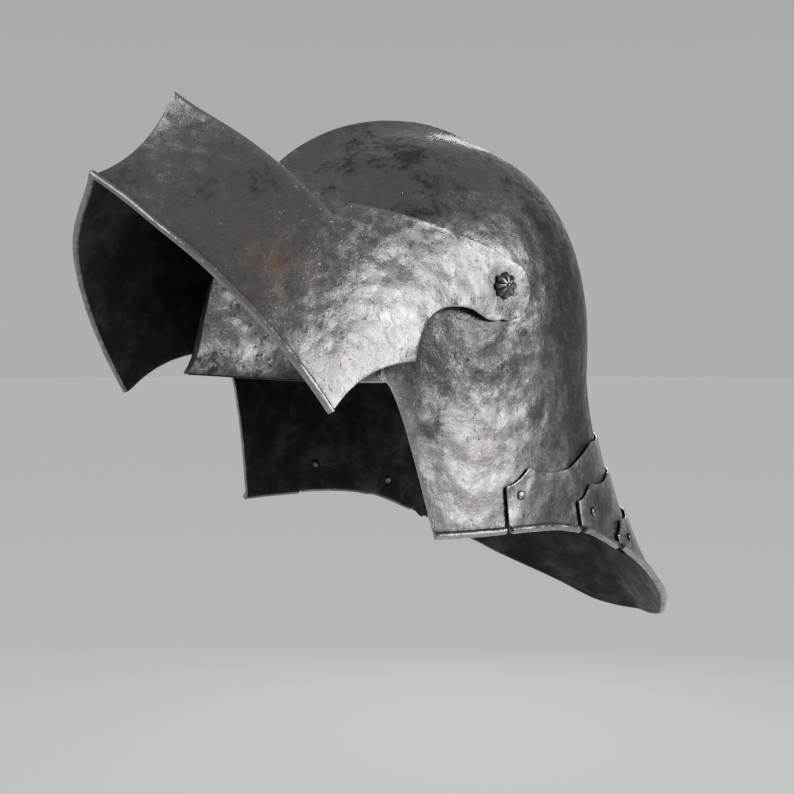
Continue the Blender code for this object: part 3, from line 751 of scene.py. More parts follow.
@dataclass
class PlateBody:
    """Closed body of a plate: both faces, rounded or rolled edges, dents, wear, and darkening that
    is mostly painted shade.
    """

    name: str
    sheet: Sheet
    thickness: float
    studs: Sequence[Stud]
    dents: Dents
    # Points along the edges of the lame that lies on this plate, where a painted shadow line
    # darkens it.
    shadow_lines: Sequence[Array] = ()
    edge_steps: int = 10
    # Dents: width and depth, and how far round a stud they stay away.
    broad_dent: Span = (0.048, 0.00034)
    small_dent: Span = (0.015, 0.00011)
    calm_reach: float = 0.012
    # Wear of plain and rolled edges, and how far it reaches on to the plate.
    plain_wear: float = 0.50
    rolled_wear: float = 0.42
    worn_reach: float = 0.0026
    # How far the darkening reaches from the lames' painted shadow lines, up the foot of a roll and
    # round the studs; the share of a roll's turn over which painted shade lies in its crease; and
    # the share of darkening from which an edge counts as part of the inner face.
    crease_reach: float = 0.0022
    stud_reach: float = 0.0024
    roll_crease: float = 0.06
    fully_shaded: float = 0.99
    drill_sides: int = 32
    drill_reach: float = 0.006
    points: list[Array] = field(default_factory=list)
    faces: list[list[int]] = field(default_factory=list)
    edge_wear: list[Array] = field(default_factory=list)
    edge_shade: list[Array] = field(default_factory=list)

    def build(self, steel: bpy.types.Material, inside: bpy.types.Material,
              place: Place) -> bpy.types.Object:
        """Make the plate.

        Args:
            steel: Finish of the outer face and the edges.
            inside: Finish of the inner face.
            place: Where the plate goes.

        Returns:
            The plate.
        """
        points, normals, rolls, painted_shade, faces = self.sheet.whole()
        points = points + self.unevenness(points)[:, None] * normals
        count = len(points)
        self.points = [points, points - self.thickness * normals]
        self.faces = faces + [[k + count for k in reversed(face)] for face in faces]
        total = 2 * count
        loops = edge_loops(faces)
        for loop in loops:
            total = self.round_edge(loop, points, normals, rolls, total)
            self.weather_edge(rolls[loop], painted_shade[loop])
        edge = sorted({k for loop in loops for k in loop})
        worn = self.worn([points[k] for k in edge if rolls[k] == 0.0], painted_shade)
        shade_and_dirt = self.shade_and_dirt([points[k] for k in edge if rolls[k] > 0.0], painted_shade)
        made = new_object(self.name, np.concatenate(self.points), self.faces)
        made.data.materials.append(steel)
        made.data.materials.append(inside)
        made.data.polygons.foreach_set("material_index", self.slots(len(faces), shade_and_dirt))
        add_layer(made, "worn", worn)
        add_layer(made, "shade_and_dirt", shade_and_dirt)
        self.pierce(made)
        finish_mesh(made, place, PLATE_SHARP)
        return made

    def weather_edge(self, rolls: Array, painted_shade: Array) -> None:
        """Give wear and painted shade to the rings of a rounded edge, from the outer face inward.

        Args:
            rolls: Radius of the roll at each point of the edge, 0 where there is none.
            painted_shade: Share of painted shade there.
        """
        rolled = rolls > 0
        wear = np.where(rolled, self.rolled_wear, self.plain_wear) * (1 - painted_shade)
        for turned in np.linspace(0, 1, self.edge_steps) ** 2:
            # Painted shade deepens as the edge turns towards the inner face, and lies in a roll's
            # crease.
            crease = rolled * max(0.0, 1 - turned / self.roll_crease)
            self.edge_wear.append(wear * (1 - turned))
            self.edge_shade.append(np.maximum(np.maximum(painted_shade, turned), crease))

    def worn(self, plain: Sequence[Array], painted_shade: Array) -> Array:
        """Work out the wear, which is strongest on the edges.

        Args:
            plain: Points of the edges that have no roll.
            painted_shade: Share of painted shade at each point of the outer face.

        Returns:
            Share of wear at every point of the body.
        """
        faces = np.concatenate(self.points[:2])
        near = self.plain_wear * self.nearness(faces, plain, self.worn_reach)
        return np.concatenate([near * (1 - np.tile(painted_shade, 2)), *self.edge_wear])

    def shade_and_dirt(self, rolled: Sequence[Array], painted_shade: Array) -> Array:
        """Work out the darkening: painted shadow along the lames' edges, painted shade at the foot
        of each roll, on the brow's lip, on hidden edges and inside the edges, and a dark ring
        round the studs.

        Args:
            rolled: Points of the outer face where a roll starts.
            painted_shade: Share of painted shade at each point of the outer face.

        Returns:
            Share of darkening at every point of the body.
        """
        face = painted_shade
        # Painted shade at the foot of each roll, and a painted shadow line along each lame's
        # edges.
        for marks in (rolled, self.shadow_lines):
            face = np.maximum(face, self.nearness(self.points[0], marks, self.crease_reach))
        shade_and_dirt = np.concatenate([face, face, *self.edge_shade])
        cloud = np.concatenate(self.points)
        for stud in self.studs:
            gap = np.linalg.norm(cloud - stud.spot, axis=1) - stud.head
            shade_and_dirt = np.maximum(shade_and_dirt, np.exp(-np.clip(gap, 0, None) / self.stud_reach))
        return shade_and_dirt

    def slots(self, count: int, shade_and_dirt: Array) -> Array:
        """Choose each face's finish, the inner one for the inner face and its side of the edges.

        Args:
            count: Number of faces of the outer face.
            shade_and_dirt: Share of darkening at each point.

        Returns:
            Number of the finish, 0 or 1, for every face.
        """
        slots = np.zeros(len(self.faces), np.int32)
        slots[count:2 * count] = 1
        for k in range(2 * count, len(self.faces)):
            slots[k] = shade_and_dirt[self.faces[k]].min() > self.fully_shaded
        return slots

    def unevenness(self, points: Array) -> Array:
        """Give the height of the dents, which calm down round the studs.

        Args:
            points: Points of the outer face.

        Returns:
            Height at each point.
        """
        height = sum(depth * self.dents.at(points + width, width)
                     for width, depth in (self.broad_dent, self.small_dent))
        for stud in self.studs:
            reach = np.linalg.norm(points - stud.spot, axis=1) - stud.head
            height = height * ease(reach / self.calm_reach)
        return height

    @staticmethod
    def nearness(points: Array, marks: Sequence[Array], reach: float) -> Array:
        """Give how near points are to marks.

        Args:
            points: Points to measure from.
            marks: Points to measure to.
            reach: Distance over which nearness dies away.

        Returns:
            1 on a mark, falling to 0.
        """
        if not len(marks):
            return np.zeros(len(points))
        tree = KDTree(len(marks))
        for k, mark in enumerate(marks):
            tree.insert(mark, k)
        tree.balance()
        return np.exp(-np.array([tree.find(p)[2] for p in points]) / reach)

    def round_edge(self, loop: list[int], points: Array, normals: Array, rolls: Array,
                   total: int) -> int:
        """Close a free edge by a half round, or by a roll that stands out of the plate.

        Args:
            loop: Point numbers of the edge.
            points: Points of the outer face.
            normals: Outward directions.
            rolls: Radius of the roll at each point, 0 where there is none.
            total: Number of points so far.

        Returns:
            Number of points afterwards.
        """
        keys = np.array(loop)
        count = len(points)
        place, normal, roll = points[keys], normals[keys], rolls[keys]
        before, after = np.roll(place, 1, 0), np.roll(place, -1, 0)
        before_same = (np.roll(roll, 1) > 0) == (roll > 0)
        after_same = (np.roll(roll, -1) > 0) == (roll > 0)
        start = np.where(before_same[:, None], before, place)
        end = np.where(after_same[:, None], after, place)
        outward = unit(np.cross(normal, end - start))
        radius = np.maximum(roll, self.thickness / 2)
        first = math.pi - np.arcsin(np.clip((self.thickness - radius) / radius, -1, 1))
        arm = np.cos(first)[:, None] * outward + np.sin(first)[:, None] * normal
        centre = place - radius[:, None] * arm
        rings = [keys.tolist()]
        for step in range(1, self.edge_steps + 1):
            turn = blend(first, -math.pi / 2, step / self.edge_steps)
            spoke = np.cos(turn)[:, None] * outward + np.sin(turn)[:, None] * normal
            ring = centre + radius[:, None] * spoke
            ring[np.abs(place[:, 0]) < SLACK, 0] = 0.0
            self.points.append(ring)
            numbers = total + np.arange(len(keys))
            if step == self.edge_steps:
                numbers = np.where(roll > 0, numbers, keys + count)
            rings.append(numbers.tolist())
            total += len(keys)
        rings.append((keys + count).tolist())
        for near, far in itertools.pairwise(rings):
            for n in range(len(keys)):
                m = (n + 1) % len(keys)
                face = tidy_face([near[n], near[m], far[m], far[n]])
                if len(face) > 2:
                    self.faces.append(face)
        return total

    def pierce(self, plate: bpy.types.Object) -> None:
        """Cut the studs' holes through the plate.

        Args:
            plate: The plate.
        """
        if not self.studs:
            return
        drill = Turning(self.name + "_drill", self.drill_sides)
        reach = self.drill_reach
        for stud in self.studs:
            drill.turn(((0, -reach), (stud.hole, -reach), (stud.hole, reach), (0, reach)))
            drill.aim(stud.spot, stud.axis)
        cutter = drill.body()
        cut = plate.modifiers.new("holes", "BOOLEAN")
        cut.operation = "DIFFERENCE"
        cut.solver = "EXACT"
        cut.object = cutter
        apply_modifiers(plate)
        bpy.data.objects.remove(cutter)


class Turning:
    """Bodies turned about the X axis, or nearly so, gathered in one mesh."""

    def __init__(self, name: str, sides: int) -> None:
        """Start with no bodies.

        Args:
            name: Name of the piece.
            sides: Points round each ring.
        """
        self.name = name
        self.turns = np.linspace(0, 2 * math.pi, sides, endpoint=False)
        self.points: list[Array] = []
        self.faces: list[list[int]] = []
        self.loose = 0

    def turn(self, profile: Sequence[tuple[float, float]]) -> None:
        """Turn a profile of (radius, along) pairs that starts and ends on the axis."""
        self.join([self.ring(radius, along) if radius > 0 else self.point(along)
                   for radius, along in profile])

    def ring(self, radius: Array | float, along: Array | float) -> list[int]:
        """Add a ring across the axis and give its points' numbers."""
        return self.add(np.stack([along + 0 * self.turns, radius * np.cos(self.turns),
                                  radius * np.sin(self.turns)], -1))

    def point(self, along: float) -> list[int]:
        """Add a point on the axis and give its number."""
        return self.add(np.array([[along, 0.0, 0.0]]))

    def add(self, points: Array) -> list[int]:
        """Add points.

        Args:
            points: The points.

        Returns:
            Their numbers.
        """
        start = sum(len(part) for part in self.points)
        self.points.append(points)
        return list(range(start, start + len(points)))

    def join(self, rings: Sequence[Sequence[int]]) -> None:
        """Join rings by faces.

        Args:
            rings: Point numbers of each ring, a ring of one number being a point.
        """
        sides = len(self.turns)
        for low, high in itertools.pairwise(rings):
            for k in range(sides):
                m = (k + 1) % sides
                face = tidy_face([low[k % len(low)], low[m % len(low)],
                                  high[m % len(high)], high[k % len(high)]])
                if len(face) > 2:
                    self.faces.append(face)

    def aim(self, spot: Array, axis: Array) -> None:
        """Move what was turned since the last call from the X axis to another.

        Args:
            spot: Where the middle goes.
            axis: Direction that X takes.
        """
        turn = Vector((1, 0, 0)).rotation_difference(Vector(axis)).to_matrix()
        turn = np.array(turn)
        for k in range(self.loose, len(self.points)):
            self.points[k] = self.points[k] @ turn.T + spot
        self.loose = len(self.points)

    def body(self) -> bpy.types.Object:
        """Make the object."""
        return new_object(self.name, np.concatenate(self.points), self.faces)


def new_object(name: str, points: Array, faces: Sequence[Sequence[int]]) -> bpy.types.Object:
    """Make an object and put it in the scene.

    Args:
        name: Name of the object and its mesh.
        points: Its points.
        faces: Point numbers of each face.

    Returns:
        The object.
    """
    mesh = bpy.data.meshes.new(name)
    mesh.from_pydata(points.tolist(), [], faces)
    made = bpy.data.objects.new(name, mesh)
    bpy.context.collection.objects.link(made)
    return made


def add_layer(made: bpy.types.Object, label: str, values: Array) -> None:
    """Give a piece a value at each of its points, for its finish to read."""
    layer = made.data.attributes.new(label, "FLOAT", "POINT")
    layer.data.foreach_set("value", values.astype(np.float32))


def apply_modifiers(made: bpy.types.Object) -> None:
    """Replace an object's mesh by the one its modifiers give.

    Args:
        made: The object.
    """
    bpy.context.view_layer.update()
    graph = bpy.context.evaluated_depsgraph_get()
    mesh = bpy.data.meshes.new_from_object(made.evaluated_get(graph))
    made.modifiers.clear()
    made.data = mesh


def finish_mesh(made: bpy.types.Object, place: Place, sharp: float) -> None:
    """Put a piece where it goes and smooth its shading.

    Args:
        made: The piece.
        place: Where it goes.
        sharp: Angle between faces from which an edge stays sharp.
    """
    made.data.transform(place.matrix())
    made.data.shade_smooth()
    made.data.set_sharp_from_angle(angle=math.radians(sharp))
    made.data.update()


@dataclass(frozen=True)
class Noise:
    """Noise of one size over a surface, about 0.5 on average."""

    width: float
    detail: float = 5.0
    rough: float = 0.55
    twist: float = 0.0
    stretch: tuple[float, float, float] = (1.0, 1.0, 1.0)


@dataclass(frozen=True)
class Mark:
    """Round place on a plate where its finish differs."""

    spot: tuple[float, float, float]
    reach: float


class Chart:
    """Node chart of one material, drawn a node at a time."""

    def __init__(self, name: str, shift: float) -> None:
        """Start a material.

        Args:
            name: Name of the material.
            shift: Offset of its textures, so that no two materials repeat.
        """
        self.material = bpy.data.materials.new(name)
        self.material.use_nodes = True
        self.nodes = self.material.node_tree.nodes
        self.links = self.material.node_tree.links
        self.shift = shift
        self.place = self.nodes.new("ShaderNodeTexCoord").outputs["Object"]

    def feed(self, socket: Socket, value: Value | Sequence[float]) -> None:
        """Set a socket to a value, or link it.

        Args:
            socket: Socket to fill.
            value: Value, or the socket that gives it.
        """
        if isinstance(value, bpy.types.NodeSocket):
            self.links.new(value, socket)
        else:
            socket.default_value = value

    def dress(self, colour: Socket, rough: Socket, metal: float, surface: Socket) -> None:
        """Finish the material.

        Args:
            colour: Colour of the steel.
            rough: Roughness.
            metal: Share of metal.
            surface: Direction of the surface.
        """
        shader = self.nodes["Principled BSDF"]
        self.feed(shader.inputs["Base Color"], colour)
        self.feed(shader.inputs["Roughness"], rough)
        self.feed(shader.inputs["Metallic"], metal)
        self.feed(shader.inputs["Normal"], surface)

    def mapped(self, stretch: Sequence[float] = (1.0, 1.0, 1.0)) -> Socket:
        """Give the place on the piece, stretched and shifted.

        Args:
            stretch: Scale along X, Y and Z.

        Returns:
            The place.
        """
        node = self.nodes.new("ShaderNodeMapping")
        self.feed(node.inputs["Vector"], self.place)
        node.inputs["Scale"].default_value = stretch
        node.inputs["Location"].default_value = (self.shift, -self.shift, 2 * self.shift)
        return node.outputs["Vector"]

    def noise(self, kind: Noise) -> Socket:
        """Add a noise.

        Args:
            kind: Its sizes.

        Returns:
            Its value.
        """
        node = self.nodes.new("ShaderNodeTexNoise")
        self.feed(node.inputs["Vector"], self.mapped(kind.stretch))
        node.inputs["Scale"].default_value = 1 / kind.width
        node.inputs["Detail"].default_value = kind.detail
        node.inputs["Roughness"].default_value = kind.rough
        node.inputs["Distortion"].default_value = kind.twist
        return node.outputs["Fac"]

    def cells(self, width: float, smooth: float = 0.6) -> Socket:
        """Add rounded cells.

        Args:
            width: Width of a cell.
            smooth: How soft their borders are.

        Returns:
            Distance from each one's middle.
        """
        node = self.nodes.new("ShaderNodeTexVoronoi")
        node.feature = "SMOOTH_F1"
        self.feed(node.inputs["Vector"], self.mapped())
        node.inputs["Scale"].default_value = 1 / width
        node.inputs["Smoothness"].default_value = smooth
        return node.outputs["Distance"]

    def near(self, marks: Sequence[Mark]) -> Value:
        """Give how near the surface is to the closest of some marks, or of their mirror marks.

        Args:
            marks: Marks on the wearer's left.

        Returns:
            1 in the middle of a mark, 0 from its reach on.
        """
        total: Value = 0.0
        for mark, side in itertools.product(marks, Side):
            node = self.nodes.new("ShaderNodeVectorMath")
            node.operation = "DISTANCE"
            self.feed(node.inputs[0], self.place)
            left, back, up = mark.spot
            node.inputs[1].default_value = (side.value * left, back, up)
            total = self.most(total, self.between(node.outputs["Value"], mark.reach, 0.0))
        return total

    def layer(self, label: str) -> Socket:
        """Read a value that the mesh carries.

        Args:
            label: Name of the value.

        Returns:
            The value.
        """
        node = self.nodes.new("ShaderNodeAttribute")
        node.attribute_name = label
        return node.outputs["Fac"]

    def math(self, operation: str, a: Value, b: Value) -> Socket:
        """Work out one sum, kept between 0 and 1.

        Args:
            operation: Kind of sum.
            a: First value.
            b: Second value.

        Returns:
            The result.
        """
        node = self.nodes.new("ShaderNodeMath")
        node.operation = operation
        node.use_clamp = True
        self.feed(node.inputs[0], a)
        self.feed(node.inputs[1], b)
        return node.outputs[0]

    def plus(self, a: Value, b: Value) -> Socket:
        """Add two values."""
        return self.math("ADD", a, b)

    def less(self, a: Value, b: Value) -> Socket:
        """Take the second value from the first."""
        return self.math("SUBTRACT", a, b)

    def times(self, a: Value, b: Value) -> Socket:
        """Multiply two values."""
        return self.math("MULTIPLY", a, b)

    def most(self, a: Value, b: Value) -> Socket:
        """Give the larger of two values."""
        return self.math("MAXIMUM", a, b)

    def between(self, value: Socket, low: float, high: float, start: float = 0.0,
                end: float = 1.0) -> Socket:
        """Step smoothly from one number to another as a value goes up or down.

        Args:
            value: The value.
            low: Value at which the step starts.
            high: Value at which it ends.
            start: Number before the step.
            end: Number after it.

        Returns:
            The number.
        """
        node = self.nodes.new("ShaderNodeMapRange")
        node.interpolation_type = "SMOOTHSTEP"
        self.feed(node.inputs["Value"], value)
        for key, number in (("From Min", low), ("From Max", high),
                            ("To Min", start), ("To Max", end)):
            node.inputs[key].default_value = number
        return node.outputs["Result"]

    def tint(self, share: Value, under: Socket | Colour, over: Socket | Colour) -> Socket:
        """Lay one colour over another.

        Args:
            share: How much of the upper one shows.
            under: Lower colour.
            over: Upper colour.

        Returns:
            The mixed colour.
        """
        node = self.nodes.new("ShaderNodeMix")
        node.data_type = "RGBA"
        self.feed(node.inputs["Factor"], share)
        for key, colour in (("A", under), ("B", over)):
            socket = next(s for s in node.inputs if s.name == key and s.type == "RGBA")
            self.feed(socket, colour if isinstance(colour, bpy.types.NodeSocket) else (*colour, 1))
        return next(s for s in node.outputs if s.type == "RGBA")

    def relief(self, height: Socket, depth: float, under: Socket | None = None,
               strength: float = 1.0) -> Socket:
        """Add relief to the surface.

        Args:
            height: Height, 0 to 1.
            depth: Height in metres of a full step.
            under: Relief that it lies on.
            strength: Share of the relief that shows.

        Returns:
            The surface's direction.
        """
        node = self.nodes.new("ShaderNodeBump")
        self.feed(node.inputs["Height"], height)
        node.inputs["Distance"].default_value = depth
        node.inputs["Strength"].default_value = strength
        if under is not None:
            self.feed(node.inputs["Normal"], under)
        return node.outputs["Normal"]


@dataclass(frozen=True)
class Coats:
    """What shows where on aged steel, each from 0 to 1, and two of its noises."""

    fleck: Socket
    grain: Socket
    # Polished patches and painted highlight.
    polished: Socket
    # Stained patches, stains and painted shade.
    stained_and_shaded: Socket
    pits: Socket
    rust: Socket
    worn: Socket
    # Darkening from the mesh, mostly painted shade.
    shade_and_dirt: Socket


@dataclass(frozen=True)
class AgedSteel:
    """Old hammered steel: mottled patina, polished patches, pits, streaks and rust, with painted
    highlight and painted shade at some marks, and painted shade from the mesh.
    """

    name: str
    shift: float
    polished_and_highlit_at: Sequence[Mark] = ()
    stained_and_shaded_at: Sequence[Mark] = ()
    rusted_at: Sequence[Mark] = ()
    pitted_at: Sequence[Mark] = ()
    dark: Colour = (0.078, 0.077, 0.076)
    middle: Colour = (0.178, 0.174, 0.172)
    bright: Colour = (0.400, 0.391, 0.380)
    edge: Colour = (0.430, 0.421, 0.407)
    rust: Colour = (0.215, 0.110, 0.078)
    metal: float = 0.96
    # Noises, from the widest to the finest.
    broad: Noise = Noise(0.055, 3.0)
    wave: Noise = Noise(0.024, 2.0)
    patch: Noise = Noise(0.013, 9.0, 0.68, 0.15)
    streak: Noise = Noise(0.0070, 6.0, 0.62, 0.3, (1.0, 1.0, 0.35))
    fleck: Noise = Noise(0.0052, 8.0, 0.74, 0.1)
    ripple: Noise = Noise(0.0042, 4.0, 0.62, 0.1)
    speck: Noise = Noise(0.0030, 3.0, 0.6, 0.4)
    grain: Noise = Noise(0.0010, 3.0, 0.6)
    # Tone, which is bright in polished patches and at marks of painted highlight, and low in
    # stained patches and at marks of stains and painted shade: what each noise and mark gives to
    # it, where polish starts, and how far from there polish and stain are full.
    broad_tone: float = 0.28
    patch_tone: float = 0.27
    fleck_tone: float = 0.35
    streak_tone: float = 0.10
    polished_and_highlit_tone: float = 0.095
    stained_and_shaded_tone: float = 0.145
    polish: float = 0.555
    polish_full: float = 0.10
    stain_start: float = 0.06
    stain_full: float = 0.15
    # Ranges of the noises over which pits, specks, rust, wear and the darkening, mostly painted
    # shade, set in.
    pit_streak: Span = (0.61, 0.67)
    pit_fleck: Span = (0.48, 0.58)
    pitted_speck: float = 0.075
    speck_level: Span = (0.615, 0.665)
    speck_patch: Span = (0.42, 0.52)
    rust_patch: Span = (0.40, 0.62)
    rust_broad: Span = (0.62, 0.70)
    rust_fleck: Span = (0.36, 0.56)
    stray_rust: float = 0.15
    worn_patch: Span = (0.30, 0.60)
    worn_least: float = 0.8
    shade_and_dirt_fleck: Span = (0.80, 0.35)
    shade_and_dirt_least: float = 0.5
    # How strongly each one tints the steel.
    glint_grain: Span = (0.50, 0.68)
    glint_tint: float = 0.15
    rust_tint: float = 0.80
    pit_tint: float = 0.68
    shade_and_dirt_tint: float = 0.85
    # Roughness of the steel, and what each one adds to it or takes from it.
    rough: float = 0.265
    stained_rough: float = 0.10
    polished_smooth: float = 0.06
    dull_fleck: Span = (0.58, 0.42)
    fleck_rough: float = 0.14
    fine_grain: Span = (0.48, 0.62)
    grain_smooth: float = 0.07
    pit_rough: float = 0.30
    rust_rough: float = 0.25
    shade_and_dirt_rough: float = 0.20
    worn_smooth: float = 0.28
    # Depths of the hammered surface.
    dent_width: float = 0.013
    dent_depth: float = 0.0010
    wave_depth: float = 0.0016
    ripple_depth: float = 0.00030
    grain_depth: float = 0.00008
    pit_depth: float = 0.00007

    def material(self) -> bpy.types.Material:
        """Draw the finish.

        Returns:
            The material.
        """
        chart = Chart(self.name, self.shift)
        coats = self.coats(chart)
        chart.dress(self.colour(chart, coats), self.roughness(chart, coats), self.metal,
                    self.surface(chart, coats))
        return chart.material

    def coats(self, chart: Chart) -> Coats:
        """Work out what shows where.

        Args:
            chart: Chart that is drawn in.

        Returns:
            The coats.
        """
        broad, patch = chart.noise(self.broad), chart.noise(self.patch)
        fleck, grain = chart.noise(self.fleck), chart.noise(self.grain)
        streak = chart.noise(self.streak)
        tone: Value = 0.0
        # Polished patches and marks of painted highlight raise the tone.
        for value, share in ((broad, self.broad_tone), (patch, self.patch_tone),
                             (fleck, self.fleck_tone), (streak, self.streak_tone),
                             (chart.near(self.polished_and_highlit_at), self.polished_and_highlit_tone)):
            tone = chart.plus(tone, chart.times(value, share))
        # Stains and marks of painted shade lower it.
        tone = chart.less(tone, chart.times(chart.near(self.stained_and_shaded_at), self.stained_and_shaded_tone))
        pits = chart.times(chart.between(streak, *self.pit_streak),
                           chart.between(fleck, *self.pit_fleck))
        specks = chart.plus(chart.noise(self.speck),
                            chart.times(chart.near(self.pitted_at), self.pitted_speck))
        specks = chart.times(chart.between(specks, *self.speck_level),
                             chart.between(patch, *self.speck_patch))
        rust = chart.times(chart.near(self.rusted_at), chart.between(patch, *self.rust_patch))
        stray = chart.times(chart.between(broad, *self.rust_broad), self.stray_rust)
        bare = chart.between(patch, *self.worn_patch, self.worn_least)
        # The darkening from the mesh, mostly painted shade, lies in blotches.
        blotched = chart.between(fleck, *self.shade_and_dirt_fleck, self.shade_and_dirt_least)
        return Coats(
            fleck=fleck,
            grain=grain,
            polished=chart.between(tone, self.polish, self.polish + self.polish_full),
            stained_and_shaded=chart.between(tone, self.polish - self.stain_start,
                                  self.polish - self.stain_full),
            pits=chart.most(pits, specks),
            rust=chart.times(chart.plus(rust, stray), chart.between(fleck, *self.rust_fleck)),
            worn=chart.times(chart.layer("worn"), bare),
            shade_and_dirt=chart.times(chart.layer("shade_and_dirt"), blotched),
        )

    def colour(self, chart: Chart, coats: Coats) -> Socket:
        """Lay the colours over each other, from the steel up to the painted shade.

        Args:
            chart: Chart that is drawn in.
            coats: What shows where.

        Returns:
            The colour.
        """
        glint = chart.between(coats.grain, *self.glint_grain)
        colour: Socket | Colour = self.middle
        # Stained patches and painted shade darken the steel, polished patches and painted
        # highlight brighten it.
        for share, over in ((coats.stained_and_shaded, self.dark), (coats.polished, self.bright),
                            (chart.times(glint, self.glint_tint), self.bright),
                            (chart.times(coats.rust, self.rust_tint), self.rust),
                            (chart.times(coats.pits, self.pit_tint), self.dark),
                            (coats.worn, self.edge),
                            # Painted shade along the lames' edges, at the foot of each roll, on
                            # the brow's lip and inside the edges, and a dark ring round the studs.
                            (chart.times(coats.shade_and_dirt, self.shade_and_dirt_tint), self.dark)):
            colour = chart.tint(share, colour, over)
        return colour

    def roughness(self, chart: Chart, coats: Coats) -> Socket:
        """Add up the roughness.

        Args:
            chart: Chart that is drawn in.
            coats: What shows where.

        Returns:
            The roughness.
        """
        rough = chart.plus(self.rough, chart.times(coats.stained_and_shaded, self.stained_rough))
        rough = chart.less(rough, chart.times(coats.polished, self.polished_smooth))
        dull = chart.between(coats.fleck, *self.dull_fleck, 0.0, self.fleck_rough)
        fine = chart.between(coats.grain, *self.fine_grain, 0.0, self.grain_smooth)
        rough = chart.less(chart.plus(rough, dull), fine)
        rough = chart.plus(rough, chart.times(coats.pits, self.pit_rough))
        rough = chart.plus(rough, chart.times(coats.rust, self.rust_rough))
        rough = chart.plus(rough, chart.times(coats.shade_and_dirt, self.shade_and_dirt_rough))
        return chart.less(rough, chart.times(coats.worn, self.worn_smooth))

    def surface(self, chart: Chart, coats: Coats) -> Socket:
        """Lay the reliefs over each other, from the hammer's dents up to the pits.

        Args:
            chart: Chart that is drawn in.
            coats: What shows where.

        Returns:
            The surface's direction.
        """
        surface = chart.relief(chart.cells(self.dent_width), self.dent_depth)
        surface = chart.relief(chart.noise(self.wave), self.wave_depth, surface)
        surface = chart.relief(chart.noise(self.ripple), self.ripple_depth, surface)
        surface = chart.relief(coats.grain, self.grain_depth, surface)
        return chart.relief(chart.less(1.0, coats.pits), self.pit_depth, surface)


@dataclass(frozen=True)
class InnerSteel:
    """Dark, unpolished inside of the plates, its near-black colour partly painted shade of the
    helmet's hollow.
    """

    name: str
    shift: float
    # Near-black colours, partly painted shade of the hollow.
    dark: Colour = (0.006, 0.006, 0.006)
    light: Colour = (0.030, 0.029, 0.028)
    edge: Colour = (0.16, 0.16, 0.16)
    metal: float = 0.7
    patch: Noise = Noise(0.018, 8.0, 0.66, 0.2)
    grain: Noise = Noise(0.0040, 5.0, 0.6, 0.3)
    rubbed_patch: Span = (0.40, 0.72)
    worn_grain: Span = (0.35, 0.60)
    worn_tint: float = 0.4
    rough: float = 0.62
    rubbed_smooth: float = 0.12
    dent_width: float = 0.011
    dent_depth: float = 0.0009
    dent_share: float = 0.35
    grain_depth: float = 0.0003
    grain_share: float = 0.6

    def material(self) -> bpy.types.Material:
        """Draw the finish.

        Returns:
            The material.
        """
        chart = Chart(self.name, self.shift)
        grain = chart.noise(self.grain)
        rubbed = chart.between(chart.noise(self.patch), *self.rubbed_patch)
        worn = chart.times(chart.layer("worn"), chart.between(grain, *self.worn_grain))
        colour = chart.tint(rubbed, self.dark, self.light)
        colour = chart.tint(chart.times(worn, self.worn_tint), colour, self.edge)
        rough = chart.less(self.rough, chart.times(rubbed, self.rubbed_smooth))
        surface = chart.relief(chart.cells(self.dent_width), self.dent_depth,
                               strength=self.dent_share)
        surface = chart.relief(grain, self.grain_depth, surface, self.grain_share)
        chart.dress(colour, rough, self.metal, surface)
        return chart.material


@dataclass(frozen=True)
class FiledSteel:
    """Dark, handled steel of bolts and rivets, bright on what stands out."""

    name: str
    shift: float
    dark: Colour = (0.075, 0.073, 0.071)
    bright: Colour = (0.420, 0.410, 0.395)
    metal: float = 0.95
    patch: Noise = Noise(0.0035, 5.0, 0.6, 0.4)
    grain: Noise = Noise(0.0012, 4.0)
    rubbed_patch: Span = (0.44, 0.62)
    rough: float = 0.20
    patch_rough: float = 0.15
    grain_depth: float = 0.00016
    grain_share: float = 0.6

    def material(self) -> bpy.types.Material:
        """Draw the finish.

        Returns:
            The material.
        """
        chart = Chart(self.name, self.shift)
        patch = chart.noise(self.patch)
        rubbed = chart.times(chart.between(patch, *self.rubbed_patch), chart.layer("worn"))
        colour = chart.tint(rubbed, self.dark, self.bright)
        rough = chart.plus(self.rough, chart.times(patch, self.patch_rough))
        surface = chart.relief(chart.noise(self.grain), self.grain_depth,
                               strength=self.grain_share)
        chart.dress(colour, rough, self.metal, surface)
        return chart.material


# Where the helmet's left side is rubbed bright with painted highlight, darkened by stains and
# painted shade, pitted and rusted.
# Polished patches with painted highlight where the key light falls on the cheeks.
SKULL_POLISHED_AND_HIGHLIT = (
    Mark((0.1090, -0.0420, -0.1980), 0.055),
    Mark((0.0309, -0.1388, -0.1290), 0.022),
)
# Stains, and painted shade under and behind the visor's arm and over the back of the skull.
SKULL_STAINED_AND_SHADED = (
    Mark((0.0750, 0.0850, -0.1350), 0.120),
    Mark((0.0950, 0.0350, -0.0950), 0.060),
    Mark((0.1017, -0.0584, -0.1714), 0.012),
    Mark((0.0980, -0.0540, -0.1240), 0.046),
    Mark((0.1040, -0.0200, -0.1200), 0.052),
    Mark((0.1053, 0.0163, -0.1629), 0.020),
)
# Painted shade on the lames.
LAME_SHADED = (
    Mark((0.1040, 0.0420, -0.2200), 0.060),
)
SKULL_PITTED = (
    Mark((0.1058, -0.0120, -0.1361), 0.012),
    Mark((0.1026, -0.0522, -0.1633), 0.012),
    Mark((0.1075, 0.0016, -0.1738), 0.020),
)
SKULL_RUSTED = (
    Mark((0.1085, -0.0284, -0.1865), 0.016),
    Mark((0.1110, -0.0330, -0.2160), 0.006),
)
